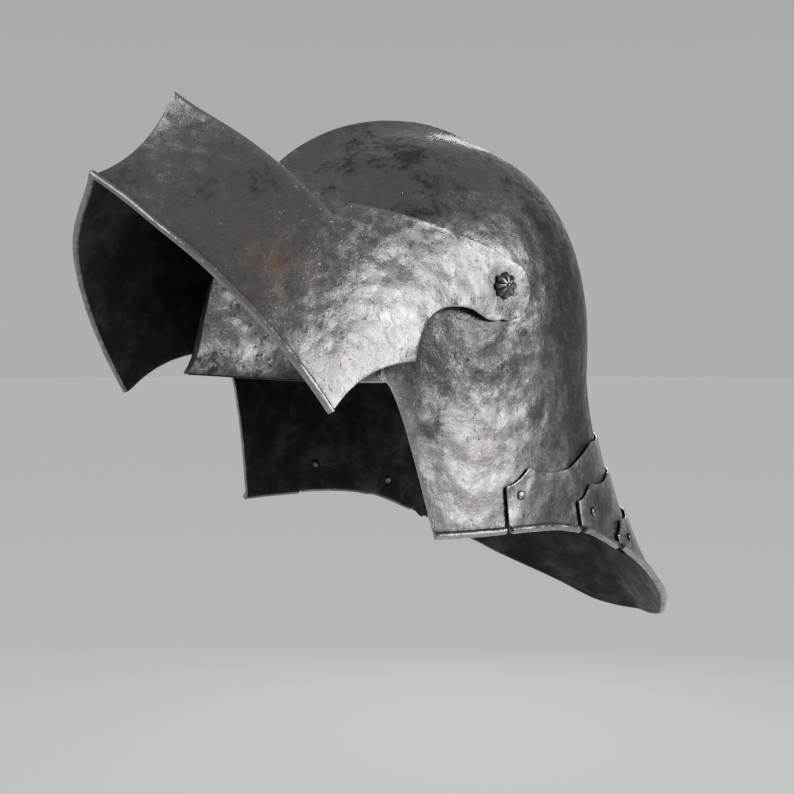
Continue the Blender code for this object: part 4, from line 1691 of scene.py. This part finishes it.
# Polished patches with painted highlight where the key light falls on the visor's corner and arm.
VISOR_POLISHED_AND_HIGHLIT = (
    Mark((0.1145, -0.0911, -0.1078), 0.045),
    Mark((0.1094, -0.0365, -0.0994), 0.040),
)
VISOR_RUSTED = (
    Mark((0.0958, -0.1560, -0.0840), 0.032),
    Mark((0.0850, -0.1650, -0.0680), 0.014),
    Mark((0.1199, -0.1323, -0.1360), 0.013),
)

SKULL_PLATE = 0.0020
LAME_PLATE = 0.0014
VISOR_PLATE = 0.0016
ROLL_RADIUS = 0.0022
HOLE_CLEARANCE = 0.0004
VISOR_CLEARANCE = 0.0026
HEAD_CLEARANCE = 0.0005
# Turn of the raised visor from closed, in degrees.
VISOR_RAISED = -57.0


@dataclass
class Lames:
    """Sizes that the tail's lames share with the skull and with each other."""

    form: SkullForm
    gap: float = 0.0011
    overlap: float = 0.0150
    end_gap: float = 0.7
    roll_end: float = 0.06
    step_span: float = 3.5
    edge_points: int = 360
    end_points: int = 60
    rivet_head: float = 0.0027
    rivet_shank: float = 0.0014
    # Upper edge of each lame: angle, share of the cheek's height below the temple, and how far
    # the span that follows hollows.
    edges: Sequence[Sequence[Row]] = (
        (
            # angle, down, hollow
            (88.9, 0.700, 0.020),
            (98.0, 0.593, 0.030),
            (116.6, 0.620, 0.000),
            (130.0, 0.480, 0.030),
            (180.0, 0.330, 0.000),
        ),
        (
            (117.0, 0.850, 0.020),
            (123.6, 0.750, 0.030),
            (138.0, 0.720, 0.020),
            (180.0, 0.620, 0.000),
        ),
        (
            (131.0, 1.130, 0.020),
            (135.0, 1.040, 0.020),
            (150.0, 1.030, 0.020),
            (180.0, 0.980, 0.000),
        ),
    )
    # Rivet of each lame: angle and share of the cheek's height below the temple.
    rivets: Sequence[Row] = (
        # angle, down
        (93.7, 0.757),
        (122.3, 0.930),
        (137.0, 1.170),
    )

    def lift(self, lame: int) -> float:
        """Give how far a lame's outer face stands off the skull's, -1 being the skull."""
        return (lame + 1) * (LAME_PLATE + self.gap)

    def start(self, lame: int) -> float:
        """Give the angle at which a lame's ends start."""
        return self.edges[lame][0][0]

    def top_rise(self, angle: Array, lame: int) -> Array:
        """Give the rise of a lame's upper edge."""
        return self.form.rise_at(angle, self.form.level_down(scallop(angle, self.edges[lame])))

    def lower_rise(self, angle: Array, covering: int) -> tuple[Array, Array]:
        """Find the lower edge of a plate: the rolled rim, then an edge under the next lame.

        Args:
            angle: Angles in plan.
            covering: Number of the next lame, past the last one where there is none.

        Returns:
            Rises, and the radius of the roll.
        """
        form = self.form
        rim = -1 + 2 * ROLL_RADIUS / (form.temple_level(angle) - form.rim_level(angle))
        if covering >= len(self.edges):
            return rim, np.full_like(angle, ROLL_RADIUS)
        begin = self.start(covering) - self.end_gap
        step = ease((angle - begin) / self.step_span)
        level = form.level_down(scallop(angle, self.edges[covering])) - self.overlap
        rolled = np.where(angle < begin - SLACK, ROLL_RADIUS, 0.0)
        return blend(rim, form.rise_at(angle, level), step), rolled

    def stops(self, covering: int) -> list[float]:
        """Give the angles at which a plate's lower edge turns under the next lame.

        Args:
            covering: Number of the next lame, past the last one where there is none.

        Returns:
            The angles, in order.
        """
        if covering >= len(self.edges):
            return []
        begin = self.start(covering) - self.end_gap
        return [begin - self.roll_end, begin, begin + self.step_span]

    def outline(self, covering: int, lift: float) -> Sequence[Array]:
        """Follow the ends and the upper edge of a lame where it lies on another plate.

        Args:
            covering: Number of the lame on top, past the last one where there is none.
            lift: How far the lower plate's outer face stands off the skull's.

        Returns:
            Points on both sides of the helmet.
        """
        if covering >= len(self.edges):
            return ()
        angle = np.linspace(self.start(covering), 180.0, self.edge_points)
        edge, _ = self.form.face(angle, self.top_rise(angle, covering), lift)
        down = np.linspace(self.top_rise(angle[:1], covering)[0], -1.0, self.end_points)
        end, _ = self.form.face(np.full_like(down, angle[0]), down, lift)
        points = np.concatenate([edge, end])
        return np.concatenate([points, points * (-1, 1, 1)])

    def stud(self, lame: int, lift: float, side: Side) -> Stud:
        """Find where a lame's rivet goes through a plate.

        Args:
            lame: Number of the lame that the rivet holds.
            lift: How far the plate's outer face stands off the skull's.
            side: Side of the helmet.

        Returns:
            The rivet's place.
        """
        angle, down = self.rivets[lame]
        angle = np.array([angle])
        rise = self.form.rise_at(angle, self.form.level_down(down))
        spot, axis = self.form.face(angle, rise)
        mirror = np.array([side.value, 1, 1])
        return Stud((spot[0] + lift * axis[0]) * mirror, axis[0] * mirror,
                    self.rivet_shank + HOLE_CLEARANCE, self.rivet_head)


@dataclass
class Skull:
    """The bowl: keeled dome, flared brow, face opening and cheeks down to the rolled rim."""

    form: SkullForm
    lames: Lames
    bolt: "PivotBolt"
    steel: bpy.types.Material
    inside: bpy.types.Material
    place: Place
    dome_rows: int = 84
    side_rows: int = 44
    brow_columns: int = 46
    column_span: float = 1.15
    least_column: float = 0.3
    middle_crowding: float = 1.25
    # Painted shade on the brow's flared lip: its strength and how sharply it falls off.
    brow_shade: float = 2.2
    brow_shade_power: float = 1.5
    dent_seed: int = 11

    def build(self) -> bpy.types.Object:
        """Make the skull's plate.

        Returns:
            The piece.
        """
        form = self.form
        sheet = Sheet()
        front = np.linspace(0, 1, self.brow_columns + 1)[:-1] ** self.middle_crowding
        front = form.temple_angle * front
        lower = runs((form.cheek_angle, 180.0), self.column_span)
        lower = with_stops(lower, self.lames.stops(0), self.least_column)
        share = (lower - form.cheek_angle) / (180 - form.cheek_angle)
        ring = np.concatenate([front, blend(form.temple_angle, 180, share)])
        place, normal = form.face(np.zeros(1), np.ones(1))
        crown = sheet.add(place, normal)
        rows = [crown * len(ring)]
        for rise in np.linspace(1, 0, self.dome_rows + 1)[1:]:
            place, normal = form.face(ring, rise)
            # Painted shade along the brow's flared lip.
            shade_and_dirt = self.brow_shade * form.lip(ring, place[:, 2]) ** self.brow_shade_power
            rows.append(sheet.add(place, normal, painted_shade=np.minimum(1.0, shade_and_dirt)))
        sheet.grid(rows)
        behind = [rows[-1][len(front):]]
        bottom, roll = self.lames.lower_rise(lower, 0)
        for level in range(1, self.side_rows + 1):
            depth = bottom * level / self.side_rows
            angle = blend(form.cheek_edge(depth), 180, share)
            place, normal = form.face(angle, depth)
            last = level == self.side_rows
            # The last row, hidden under the first lame where it has no roll, is fully in painted
            # shade.
            behind.append(sheet.add(place, normal, roll * last, (roll == 0) * float(last)))
        sheet.grid(behind)
        studs = [self.bolt.stud(side) for side in Side]
        studs += [self.lames.stud(0, 0.0, side) for side in Side]
        body = PlateBody("skull_shell", sheet, SKULL_PLATE, studs, Dents(self.dent_seed),
                         self.lames.outline(0, 0.0))
        made = body.build(self.steel, self.inside, self.place)
        return settle(made, "skull", ("skull",))


@dataclass
class TailLame:
    """One overlapping plate of the tail, with cusps on its upper edge and a rolled rim."""

    lames: Lames
    number: int
    steel: bpy.types.Material
    inside: bpy.types.Material
    place: Place
    rows: int = 30
    column_span: float = 0.85
    least_column: float = 0.25
    dent_seed: int = 21

    def build(self) -> bpy.types.Object:
        """Make the lame.

        Returns:
            The piece.
        """
        lames, lame = self.lames, self.number
        sheet = Sheet()
        corners = [row[0] for row in lames.edges[lame]]
        angle = runs(corners, self.column_span)
        stops = lames.stops(lame + 1)
        if stops:
            angle = with_stops(angle, stops, self.least_column)
        top = lames.top_rise(angle, lame)
        bottom, roll = lames.lower_rise(angle, lame + 1)
        lift = lames.lift(lame)
        rows = []
        for level in range(self.rows + 1):
            depth = blend(top, bottom, level / self.rows)
            place, normal = lames.form.face(angle, depth, lift)
            last = level == self.rows
            # The last row, hidden under the next lame where it has no roll, is fully in painted
            # shade.
            rows.append(sheet.add(place, normal, roll * last, (roll == 0) * float(last)))
        sheet.grid(rows)
        held = [k for k in (lame, lame + 1) if k < len(lames.rivets)]
        studs = [lames.stud(k, lift, side) for k in held for side in Side]
        name = f"tail_lame_{lame + 1}"
        body = PlateBody(name + "_plate", sheet, LAME_PLATE, studs,
                         Dents(self.dent_seed + lame), lames.outline(lame + 1, lift))
        made = body.build(self.steel, self.inside, self.place)
        return settle(made, f"lame_{lame + 1}", (name,))


@dataclass
class Visor:
    """The raised visor: prow, sight edge with its notches, scalloped arms and rolled edge."""

    form: VisorForm
    bolt: "PivotBolt"
    steel: bpy.types.Material
    inside: bpy.types.Material
    place: Place
    row_step: float = 0.0019
    front_columns: int = 60
    arm_columns: int = 44
    arm_step: float = 0.033
    middle_crowding: float = 1.3
    dent_seed: int = 31

    def build(self) -> bpy.types.Object:
        """Make the visor's plate.

        Returns:
            The piece.
        """
        form = self.form
        sheet = Sheet()
        cusps = [row[0] * form.lower_level for row in form.back_edge[1:]]
        levels = runs([form.sight_level, *cusps], self.row_step)
        end = form.turn_at(form.back(form.sight_level), form.sight_level)
        notch = form.turn_at(form.sight_end, form.sight_level) / end
        share = np.concatenate([
            notch * np.linspace(0, 1, self.front_columns + 1)[:-1] ** self.middle_crowding,
            np.linspace(notch, 1, self.arm_columns + 1),
        ])
        band = []
        for level in levels:
            turn = share * form.turn_at(form.back(level), level)
            points = form.prow(turn, form.lifted(share, level))
            roll = ROLL_RADIUS * (level == levels[-1])
            band.append(sheet.add(points, form.normal(points), roll))
        sheet.grid(band)
        base = sheet.points[0][self.front_columns:]
        arm = [sheet.add(row, form.normal(row)) for row in self.arm_rows(base)]
        sheet.grid(arm + [band[0][self.front_columns:]])
        studs = [self.bolt.stud(side) for side in Side]
        body = PlateBody("visor_plate", sheet, VISOR_PLATE, studs, Dents(self.dent_seed))
        made = body.build(self.steel, self.inside, self.place)
        return settle(made, "visor", ("visor",))

    def arm_rows(self, base: Array) -> list[Array]:
        """Fill the arm between its four edges.

        Args:
            base: Points of the arm's foot, from the sight's end to the back edge.

        Returns:
            Rows of points from the arm's top to just above its foot.
        """
        form = self.form
        across = np.linspace(0, 1, self.arm_columns + 1)[:, None]
        upper = np.array([form.arm_top(float(u)) for u in across[:, 0]])
        bottom = np.stack([-base[:, 1], base[:, 2]], -1)
        rows = []
        for down in runs((0.0, form.round_share, 1.0), self.arm_step)[:-1]:
            left = blend(upper[0], bottom[0], down)
            left[0] = form.sight_end
            side = form.arm_back(float(down))
            flat = (blend(left, side, across) + blend(upper, bottom, down)
                    - blend(blend(upper[0], upper[-1], across),
                            blend(bottom[0], bottom[-1], across), down))
            rows.append(form.beside(flat[:, 0], flat[:, 1]))
        return rows


@dataclass
class PivotBolt:
    """Fluted rosette on a shank, with a square nut inside the skull."""

    # Half widths at which the head and the nut lie on the plates.
    outer: float
    inner: float
    # Head, with the share of its radius at the foot.
    head_radius: float = 0.0078
    head_height: float = 0.0045
    head_foot: float = 0.97
    head_chamfer: float = 0.0002
    collar: float = 0.0009
    dome_power: float = 0.8
    # Shank, and its end where it stands out of the nut.
    shank_radius: float = 0.0030
    end_radius: float = 0.0024
    end_hollow: float = 0.0002
    end_chamfer: float = 0.0003
    end_height: float = 0.0005
    # Nut, whose height counts the shank's end and whose corners are cut round.
    nut_radius: float = 0.0062
    nut_height: float = 0.0030
    nut_chamfer: float = 0.0004
    nut_top: float = 0.90
    nut_corner: float = 1.08
    # Petals: the wave of the outline, the grooves between them and the boss in the middle.
    flutes: int = 8
    flute_depth: float = 0.16
    flute_fade: float = 0.4
    groove_depth: float = 0.45
    groove_reach: float = 1.15
    groove_power: int = 3
    boss_radius: float = 0.0017
    boss_height: float = 0.0007
    boss_slope: float = 2.2
    # Wear, which grows with height and a little towards the rim.
    wear: float = 0.5
    wear_outward: float = 0.4
    wear_start: float = 0.35
    sides: int = 96
    head_rings: int = 26

    def stud(self, side: Side) -> Stud:
        """Find where the bolt goes through the plates.

        Args:
            side: Side of the helmet.

        Returns:
            The bolt's place.
        """
        axis = np.array([side.value, 0.0, 0.0])
        return Stud(self.outer * axis, axis, self.shank_radius + HOLE_CLEARANCE,
                    self.head_radius)

    def shank(self, turning: Turning) -> list[list[int]]:
        """Add the rings of the shank, from its inner end over the nut to the head.

        Args:
            turning: Body that the rings are added to.

        Returns:
            Point numbers of each ring.
        """
        eighth, quarter = math.pi / 4, math.pi / 2
        corner = np.abs(np.mod(turning.turns + eighth, quarter) - eighth)
        square = np.minimum(1.0, math.cos(eighth) * self.nut_corner / np.cos(corner))
        nut = self.nut_radius * square
        low = self.inner - self.nut_height
        nut_end = low + self.end_height
        rings = [turning.point(low + self.end_hollow)]
        for radius, along in ((self.end_radius, low),
                              (self.shank_radius, low + self.end_chamfer),
                              (self.shank_radius, nut_end),
                              (nut * self.nut_top, nut_end),
                              (nut, nut_end + self.nut_chamfer),
                              (nut, self.inner),
                              (self.shank_radius, self.inner),
                              (self.shank_radius, self.outer)):
            rings.append(turning.ring(radius, along))
        return rings

    def head(self, turning: Turning) -> list[list[int]]:
        """Add the rings of the head, petals with a groove between each two and a boss.

        Args:
            turning: Body that the rings are added to.

        Returns:
            Point numbers of each ring.
        """
        wave = 0.5 - 0.5 * np.cos(self.flutes * turning.turns)
        foot = self.head_radius * (1 - self.flute_depth * wave)
        rings = [turning.ring(foot * self.head_foot, self.outer),
                 turning.ring(foot, self.outer + self.head_chamfer)]
        dome = self.head_height - self.boss_height - self.collar
        for up in np.linspace(0, 1, self.head_rings)[:-1]:
            radius = self.head_radius * math.cos(up * math.pi / 2) ** self.dome_power
            petals = 1 - self.flute_depth * wave * (1 - up * self.flute_fade)
            groove = math.sin(math.pi * min(1.0, up * self.groove_reach))
            cut = self.groove_depth * dome * groove * wave ** self.groove_power
            boss = np.clip(1 - radius / self.boss_radius, 0, 1)
            along = self.collar + dome * math.sin(up * math.pi / 2) - cut * (1 - boss)
            along = along + self.boss_height * ease(boss * self.boss_slope)
            rings.append(turning.ring(radius * petals, self.outer + along))
        rings.append(turning.point(self.outer + self.head_height))
        return rings

    def build(self, side: Side, steel: bpy.types.Material, place: Place) -> bpy.types.Object:
        """Make the bolt of one side.

        Args:
            side: Side of the helmet.
            steel: Finish of the bolt.
            place: Where the bolt goes.

        Returns:
            The piece.
        """
        turning = Turning(f"pivot_rosette_{side.word}", self.sides)
        turning.join(self.shank(turning) + self.head(turning))
        made = turning.body()
        points = np.concatenate(turning.points)
        radius = np.hypot(points[:, 1], points[:, 2])
        proud = (points[:, 0] - self.outer) / self.head_height - self.wear_start
        proud = proud + self.wear_outward * radius / self.head_radius
        add_layer(made, "worn", self.wear * np.clip(proud, 0.0, 1.0))
        made.data.materials.append(steel)
        if side is Side.RIGHT:
            made.data.transform(Matrix.Diagonal((-1, 1, 1, 1)))
            made.data.flip_normals()
        finish_mesh(made, place, STUD_SHARP)
        return settle(made, "skull", (f"pivot_bolt_{side.word}",))


@dataclass
class LameRivet:
    """Domed rivet through a lame and the plate under it, closed over inside by a burr."""

    lames: Lames
    number: int
    # Head: height, share of its radius at the foot, and share of its height under the dome.
    head_height: float = 0.0015
    head_foot: float = 0.96
    rim_share: float = 0.25
    burr_radius: float = 0.0023
    # Burr from its end up to the plate: share of its radius, and height.
    burr: Sequence[Row] = (
        # share, height
        (0.72, 0.0000),
        (0.93, 0.0002),
        (1.00, 0.0005),
        (0.96, 0.0009),
    )
    face_gap: float = 0.0003
    least_wear: float = 0.25
    sides: int = 48
    dome_rings: int = 12

    def build(self, side: Side, steel: bpy.types.Material, place: Place) -> bpy.types.Object:
        """Make the rivet of one side.

        Args:
            side: Side of the helmet.
            steel: Finish of the rivet.
            place: Where the rivet goes.

        Returns:
            The piece.
        """
        lames = self.lames
        under = SKULL_PLATE if self.number == 0 else LAME_PLATE
        outer = lames.lift(self.number) + self.face_gap
        inner = lames.lift(self.number - 1) - under - self.face_gap
        shank, head = lames.rivet_shank, lames.rivet_head
        low = inner - self.burr[-1][1]
        profile = [(0.0, low)]
        profile += [(share * self.burr_radius, low + height) for share, height in self.burr]
        profile += [(shank, inner), (shank, outer), (head * self.head_foot, outer)]
        edge = self.head_height * self.rim_share
        for turn in np.linspace(0, math.pi / 2, self.dome_rings):
            radius = head * math.cos(turn) if turn < math.pi / 2 - SLACK else 0.0
            profile.append((radius, outer + edge + (self.head_height - edge) * math.sin(turn)))
        turning = Turning(f"tail_rivet_{self.number + 1}_{side.word}", self.sides)
        turning.turn(profile)
        up = (np.concatenate(turning.points)[:, 0] - outer) / self.head_height
        worn = blend(self.least_wear, 1.0, np.clip(up, 0, 1))
        stud = lames.stud(self.number, 0.0, side)
        turning.aim(stud.spot, stud.axis)
        made = turning.body()
        add_layer(made, "worn", worn)
        made.data.materials.append(steel)
        finish_mesh(made, place, STUD_SHARP)
        body = "skull" if self.number == 0 else f"lame_{self.number}"
        node = f"lame_rivet_{self.number + 1}_{side.word}"
        return settle(made, body, (node,))


def settle(made: bpy.types.Object, body: str, nodes: Sequence[str]) -> bpy.types.Object:
    """Make a piece ride on a body and stand for its solids.

    Args:
        made: The piece.
        body: Body that it moves with.
        nodes: Solids that it stands for.

    Returns:
        The piece.
    """
    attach(made, body)
    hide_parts(*nodes)
    LOG.info("%s: %d faces, rides on %s", made.name, len(made.data.polygons), body)
    return made


@dataclass(frozen=True)
class Softbox:
    """Rectangular studio light, placed by azimuth and elevation about the helmet."""

    name: str
    azimuth: float
    elevation: float
    distance: float
    width: float
    height: float
    power: float
    colour: Colour = (1.0, 1.0, 1.0)

    def build(self, target: Vector) -> None:
        """Hang the light.

        Args:
            target: Point that it is aimed at.
        """
        data = bpy.data.lights.new(self.name, "AREA")
        data.shape = "RECTANGLE"
        data.size = self.width
        data.size_y = self.height
        data.energy = self.power
        data.color = self.colour
        made = bpy.data.objects.new(self.name, data)
        back = direction(self.azimuth, self.elevation)
        made.location = target + back * self.distance
        made.rotation_mode = "QUATERNION"
        made.rotation_quaternion = back.to_track_quat("Z", "Y")
        bpy.context.collection.objects.link(made)


def direction(azimuth: float, elevation: float) -> Vector:
    """Give the direction from the helmet towards an azimuth and an elevation.

    Args:
        azimuth: Degrees from the front, towards the wearer's left.
        elevation: Degrees above the horizon.

    Returns:
        Unit vector.
    """
    turn, rise = math.radians(azimuth), math.radians(elevation)
    return Vector((math.sin(turn) * math.cos(rise), -math.cos(turn) * math.cos(rise),
                   math.sin(rise)))


@dataclass
class Studio:
    """Pale floor, soft lights, surroundings and the camera."""

    target: Vector = field(default_factory=lambda: Vector((0.0, -0.01, -0.09)))
    floor_level: float = -0.72
    floor_radius: float = 14.0
    floor_sides: int = 96
    floor_colour: Colour = (0.70, 0.70, 0.69)
    floor_rough: float = 0.9
    floor_glow: float = 0.34
    # Colours of the surroundings, and the heights at which they are reached.
    horizon: Colour = (0.56, 0.56, 0.56)
    horizon_height: float = 0.05
    zenith: Colour = (0.38, 0.38, 0.38)
    zenith_height: float = 0.60
    # Darker stretch of the surroundings: azimuth, share of light taken away, and the cosines of
    # the angles from which it starts and is full.
    dim_azimuth: float = 168.0
    dim_share: float = 0.50
    dim_start: float = 0.80
    dim_full: float = 0.95
    azimuth: float = 55.0
    elevation: float = 3.19
    lens: float = 64.8
    sensor: float = 36.0
    clip: Span = (0.01, 60.0)
    camera_place: tuple[float, float, float] = (0.739, -0.527, -0.109)
    boxes: Sequence[Softbox] = (
        Softbox("key", 114.0, 12.0, 1.5, 0.74, 0.50, 11.5),
        Softbox("key_core", 118.5, 15.0, 1.5, 0.14, 0.36, 11.0),
        Softbox("rim", 230.0, 8.0, 1.6, 0.25, 0.8, 8.0),
        Softbox("fill", -18.0, 38.0, 2.0, 1.0, 0.8, 13.0),
    )

    def build(self) -> None:
        """Set up the floor, the surroundings, the lights and the camera."""
        self.floor()
        self.surroundings()
        for box in self.boxes:
            box.build(self.target)
        data = bpy.data.cameras.new("photo_view")
        data.lens = self.lens
        data.sensor_width = self.sensor
        data.clip_start, data.clip_end = self.clip
        camera = bpy.data.objects.new("photo_view", data)
        camera.location = self.camera_place
        camera.rotation_mode = "QUATERNION"
        back = direction(self.azimuth, self.elevation)
        camera.rotation_quaternion = (-back).to_track_quat("-Z", "Y")
        bpy.context.collection.objects.link(camera)
        bpy.context.scene.camera = camera

    def floor(self) -> None:
        """Lay the floor."""
        turns = np.linspace(0, 2 * math.pi, self.floor_sides, endpoint=False)
        rim = np.stack([self.floor_radius * np.cos(turns), self.floor_radius * np.sin(turns),
                        self.floor_level + 0 * turns], -1)
        made = new_object("floor", rim, [list(range(len(rim)))])
        material = bpy.data.materials.new("floor_paint")
        material.use_nodes = True
        inputs = material.node_tree.nodes["Principled BSDF"].inputs
        inputs["Base Color"].default_value = (*self.floor_colour, 1)
        inputs["Roughness"].default_value = self.floor_rough
        inputs["Emission Color"].default_value = (1, 1, 1, 1)
        inputs["Emission Strength"].default_value = self.floor_glow
        made.data.materials.append(material)

    def surroundings(self) -> None:
        """Paint the studio round the floor, pale at the horizon and dim overhead."""
        world = bpy.data.worlds.new("studio")
        world.use_nodes = True
        nodes, links = world.node_tree.nodes, world.node_tree.links
        place = nodes.new("ShaderNodeTexCoord")
        split = nodes.new("ShaderNodeSeparateXYZ")
        links.new(place.outputs["Generated"], split.inputs["Vector"])
        ramp = nodes.new("ShaderNodeValToRGB")
        for stop, colour, height in zip(ramp.color_ramp.elements, (self.horizon, self.zenith),
                                        (self.horizon_height, self.zenith_height)):
            stop.color = (*colour, 1)
            stop.position = height
        links.new(split.outputs["Z"], ramp.inputs["Fac"])
        links.new(ramp.outputs["Color"], nodes["Background"].inputs["Color"])
        facing = nodes.new("ShaderNodeVectorMath")
        facing.operation = "DOT_PRODUCT"
        links.new(place.outputs["Generated"], facing.inputs[0])
        facing.inputs[1].default_value = direction(self.dim_azimuth, 0.0)
        dim = nodes.new("ShaderNodeMapRange")
        dim.interpolation_type = "SMOOTHSTEP"
        links.new(facing.outputs["Value"], dim.inputs["Value"])
        for key, number in (("From Min", self.dim_start), ("From Max", self.dim_full),
                            ("To Min", 1.0), ("To Max", 1.0 - self.dim_share)):
            dim.inputs[key].default_value = number
        links.new(dim.outputs["Result"], nodes["Background"].inputs["Strength"])
        bpy.context.scene.world = world


def main() -> None:
    """Build the helmet on its frame, then the studio round it."""
    form = SkullForm()
    pivots = (0.0, -form.crown_set_back, SKULL_PLATE - form.crown_level)
    seat = Place(pivots)
    raised = Place(pivots, VISOR_RAISED)
    half_width = form.side(0.0) + VISOR_CLEARANCE + VISOR_PLATE
    inner_face = form.side(PivotBolt.nut_radius) - SKULL_PLATE
    bolt = PivotBolt(half_width + HEAD_CLEARANCE, inner_face - HEAD_CLEARANCE)
    lames = Lames(form)
    inside = InnerSteel("inner_steel", 0.7).material()
    skull_steel = AgedSteel("skull_steel", 1.3, SKULL_POLISHED_AND_HIGHLIT, SKULL_STAINED_AND_SHADED, SKULL_RUSTED,
                            SKULL_PITTED, dark=(0.054, 0.053, 0.052),
                            bright=(0.422, 0.393, 0.368)).material()
    visor_steel = AgedSteel("visor_steel", 2.9, VISOR_POLISHED_AND_HIGHLIT, (), VISOR_RUSTED).material()
    lame_steel = AgedSteel("lame_steel", 4.1, stained_and_shaded_at=LAME_SHADED, polish=0.545).material()
    bolt_steel = FiledSteel("bolt_steel", 5.3).material()
    Skull(form, lames, bolt, skull_steel, inside, seat).build()
    Visor(VisorForm(half_width), bolt, visor_steel, inside, raised).build()
    for number in range(len(lames.edges)):
        TailLame(lames, number, lame_steel, inside, seat).build()
        for side in Side:
            LameRivet(lames, number).build(side, bolt_steel, seat)
    for side in Side:
        bolt.build(side, bolt_steel, seat)
    Studio().build()


if __name__ == "__main__":
    logging.basicConfig(level=logging.INFO, format="%(name)s: %(message)s")
    main()
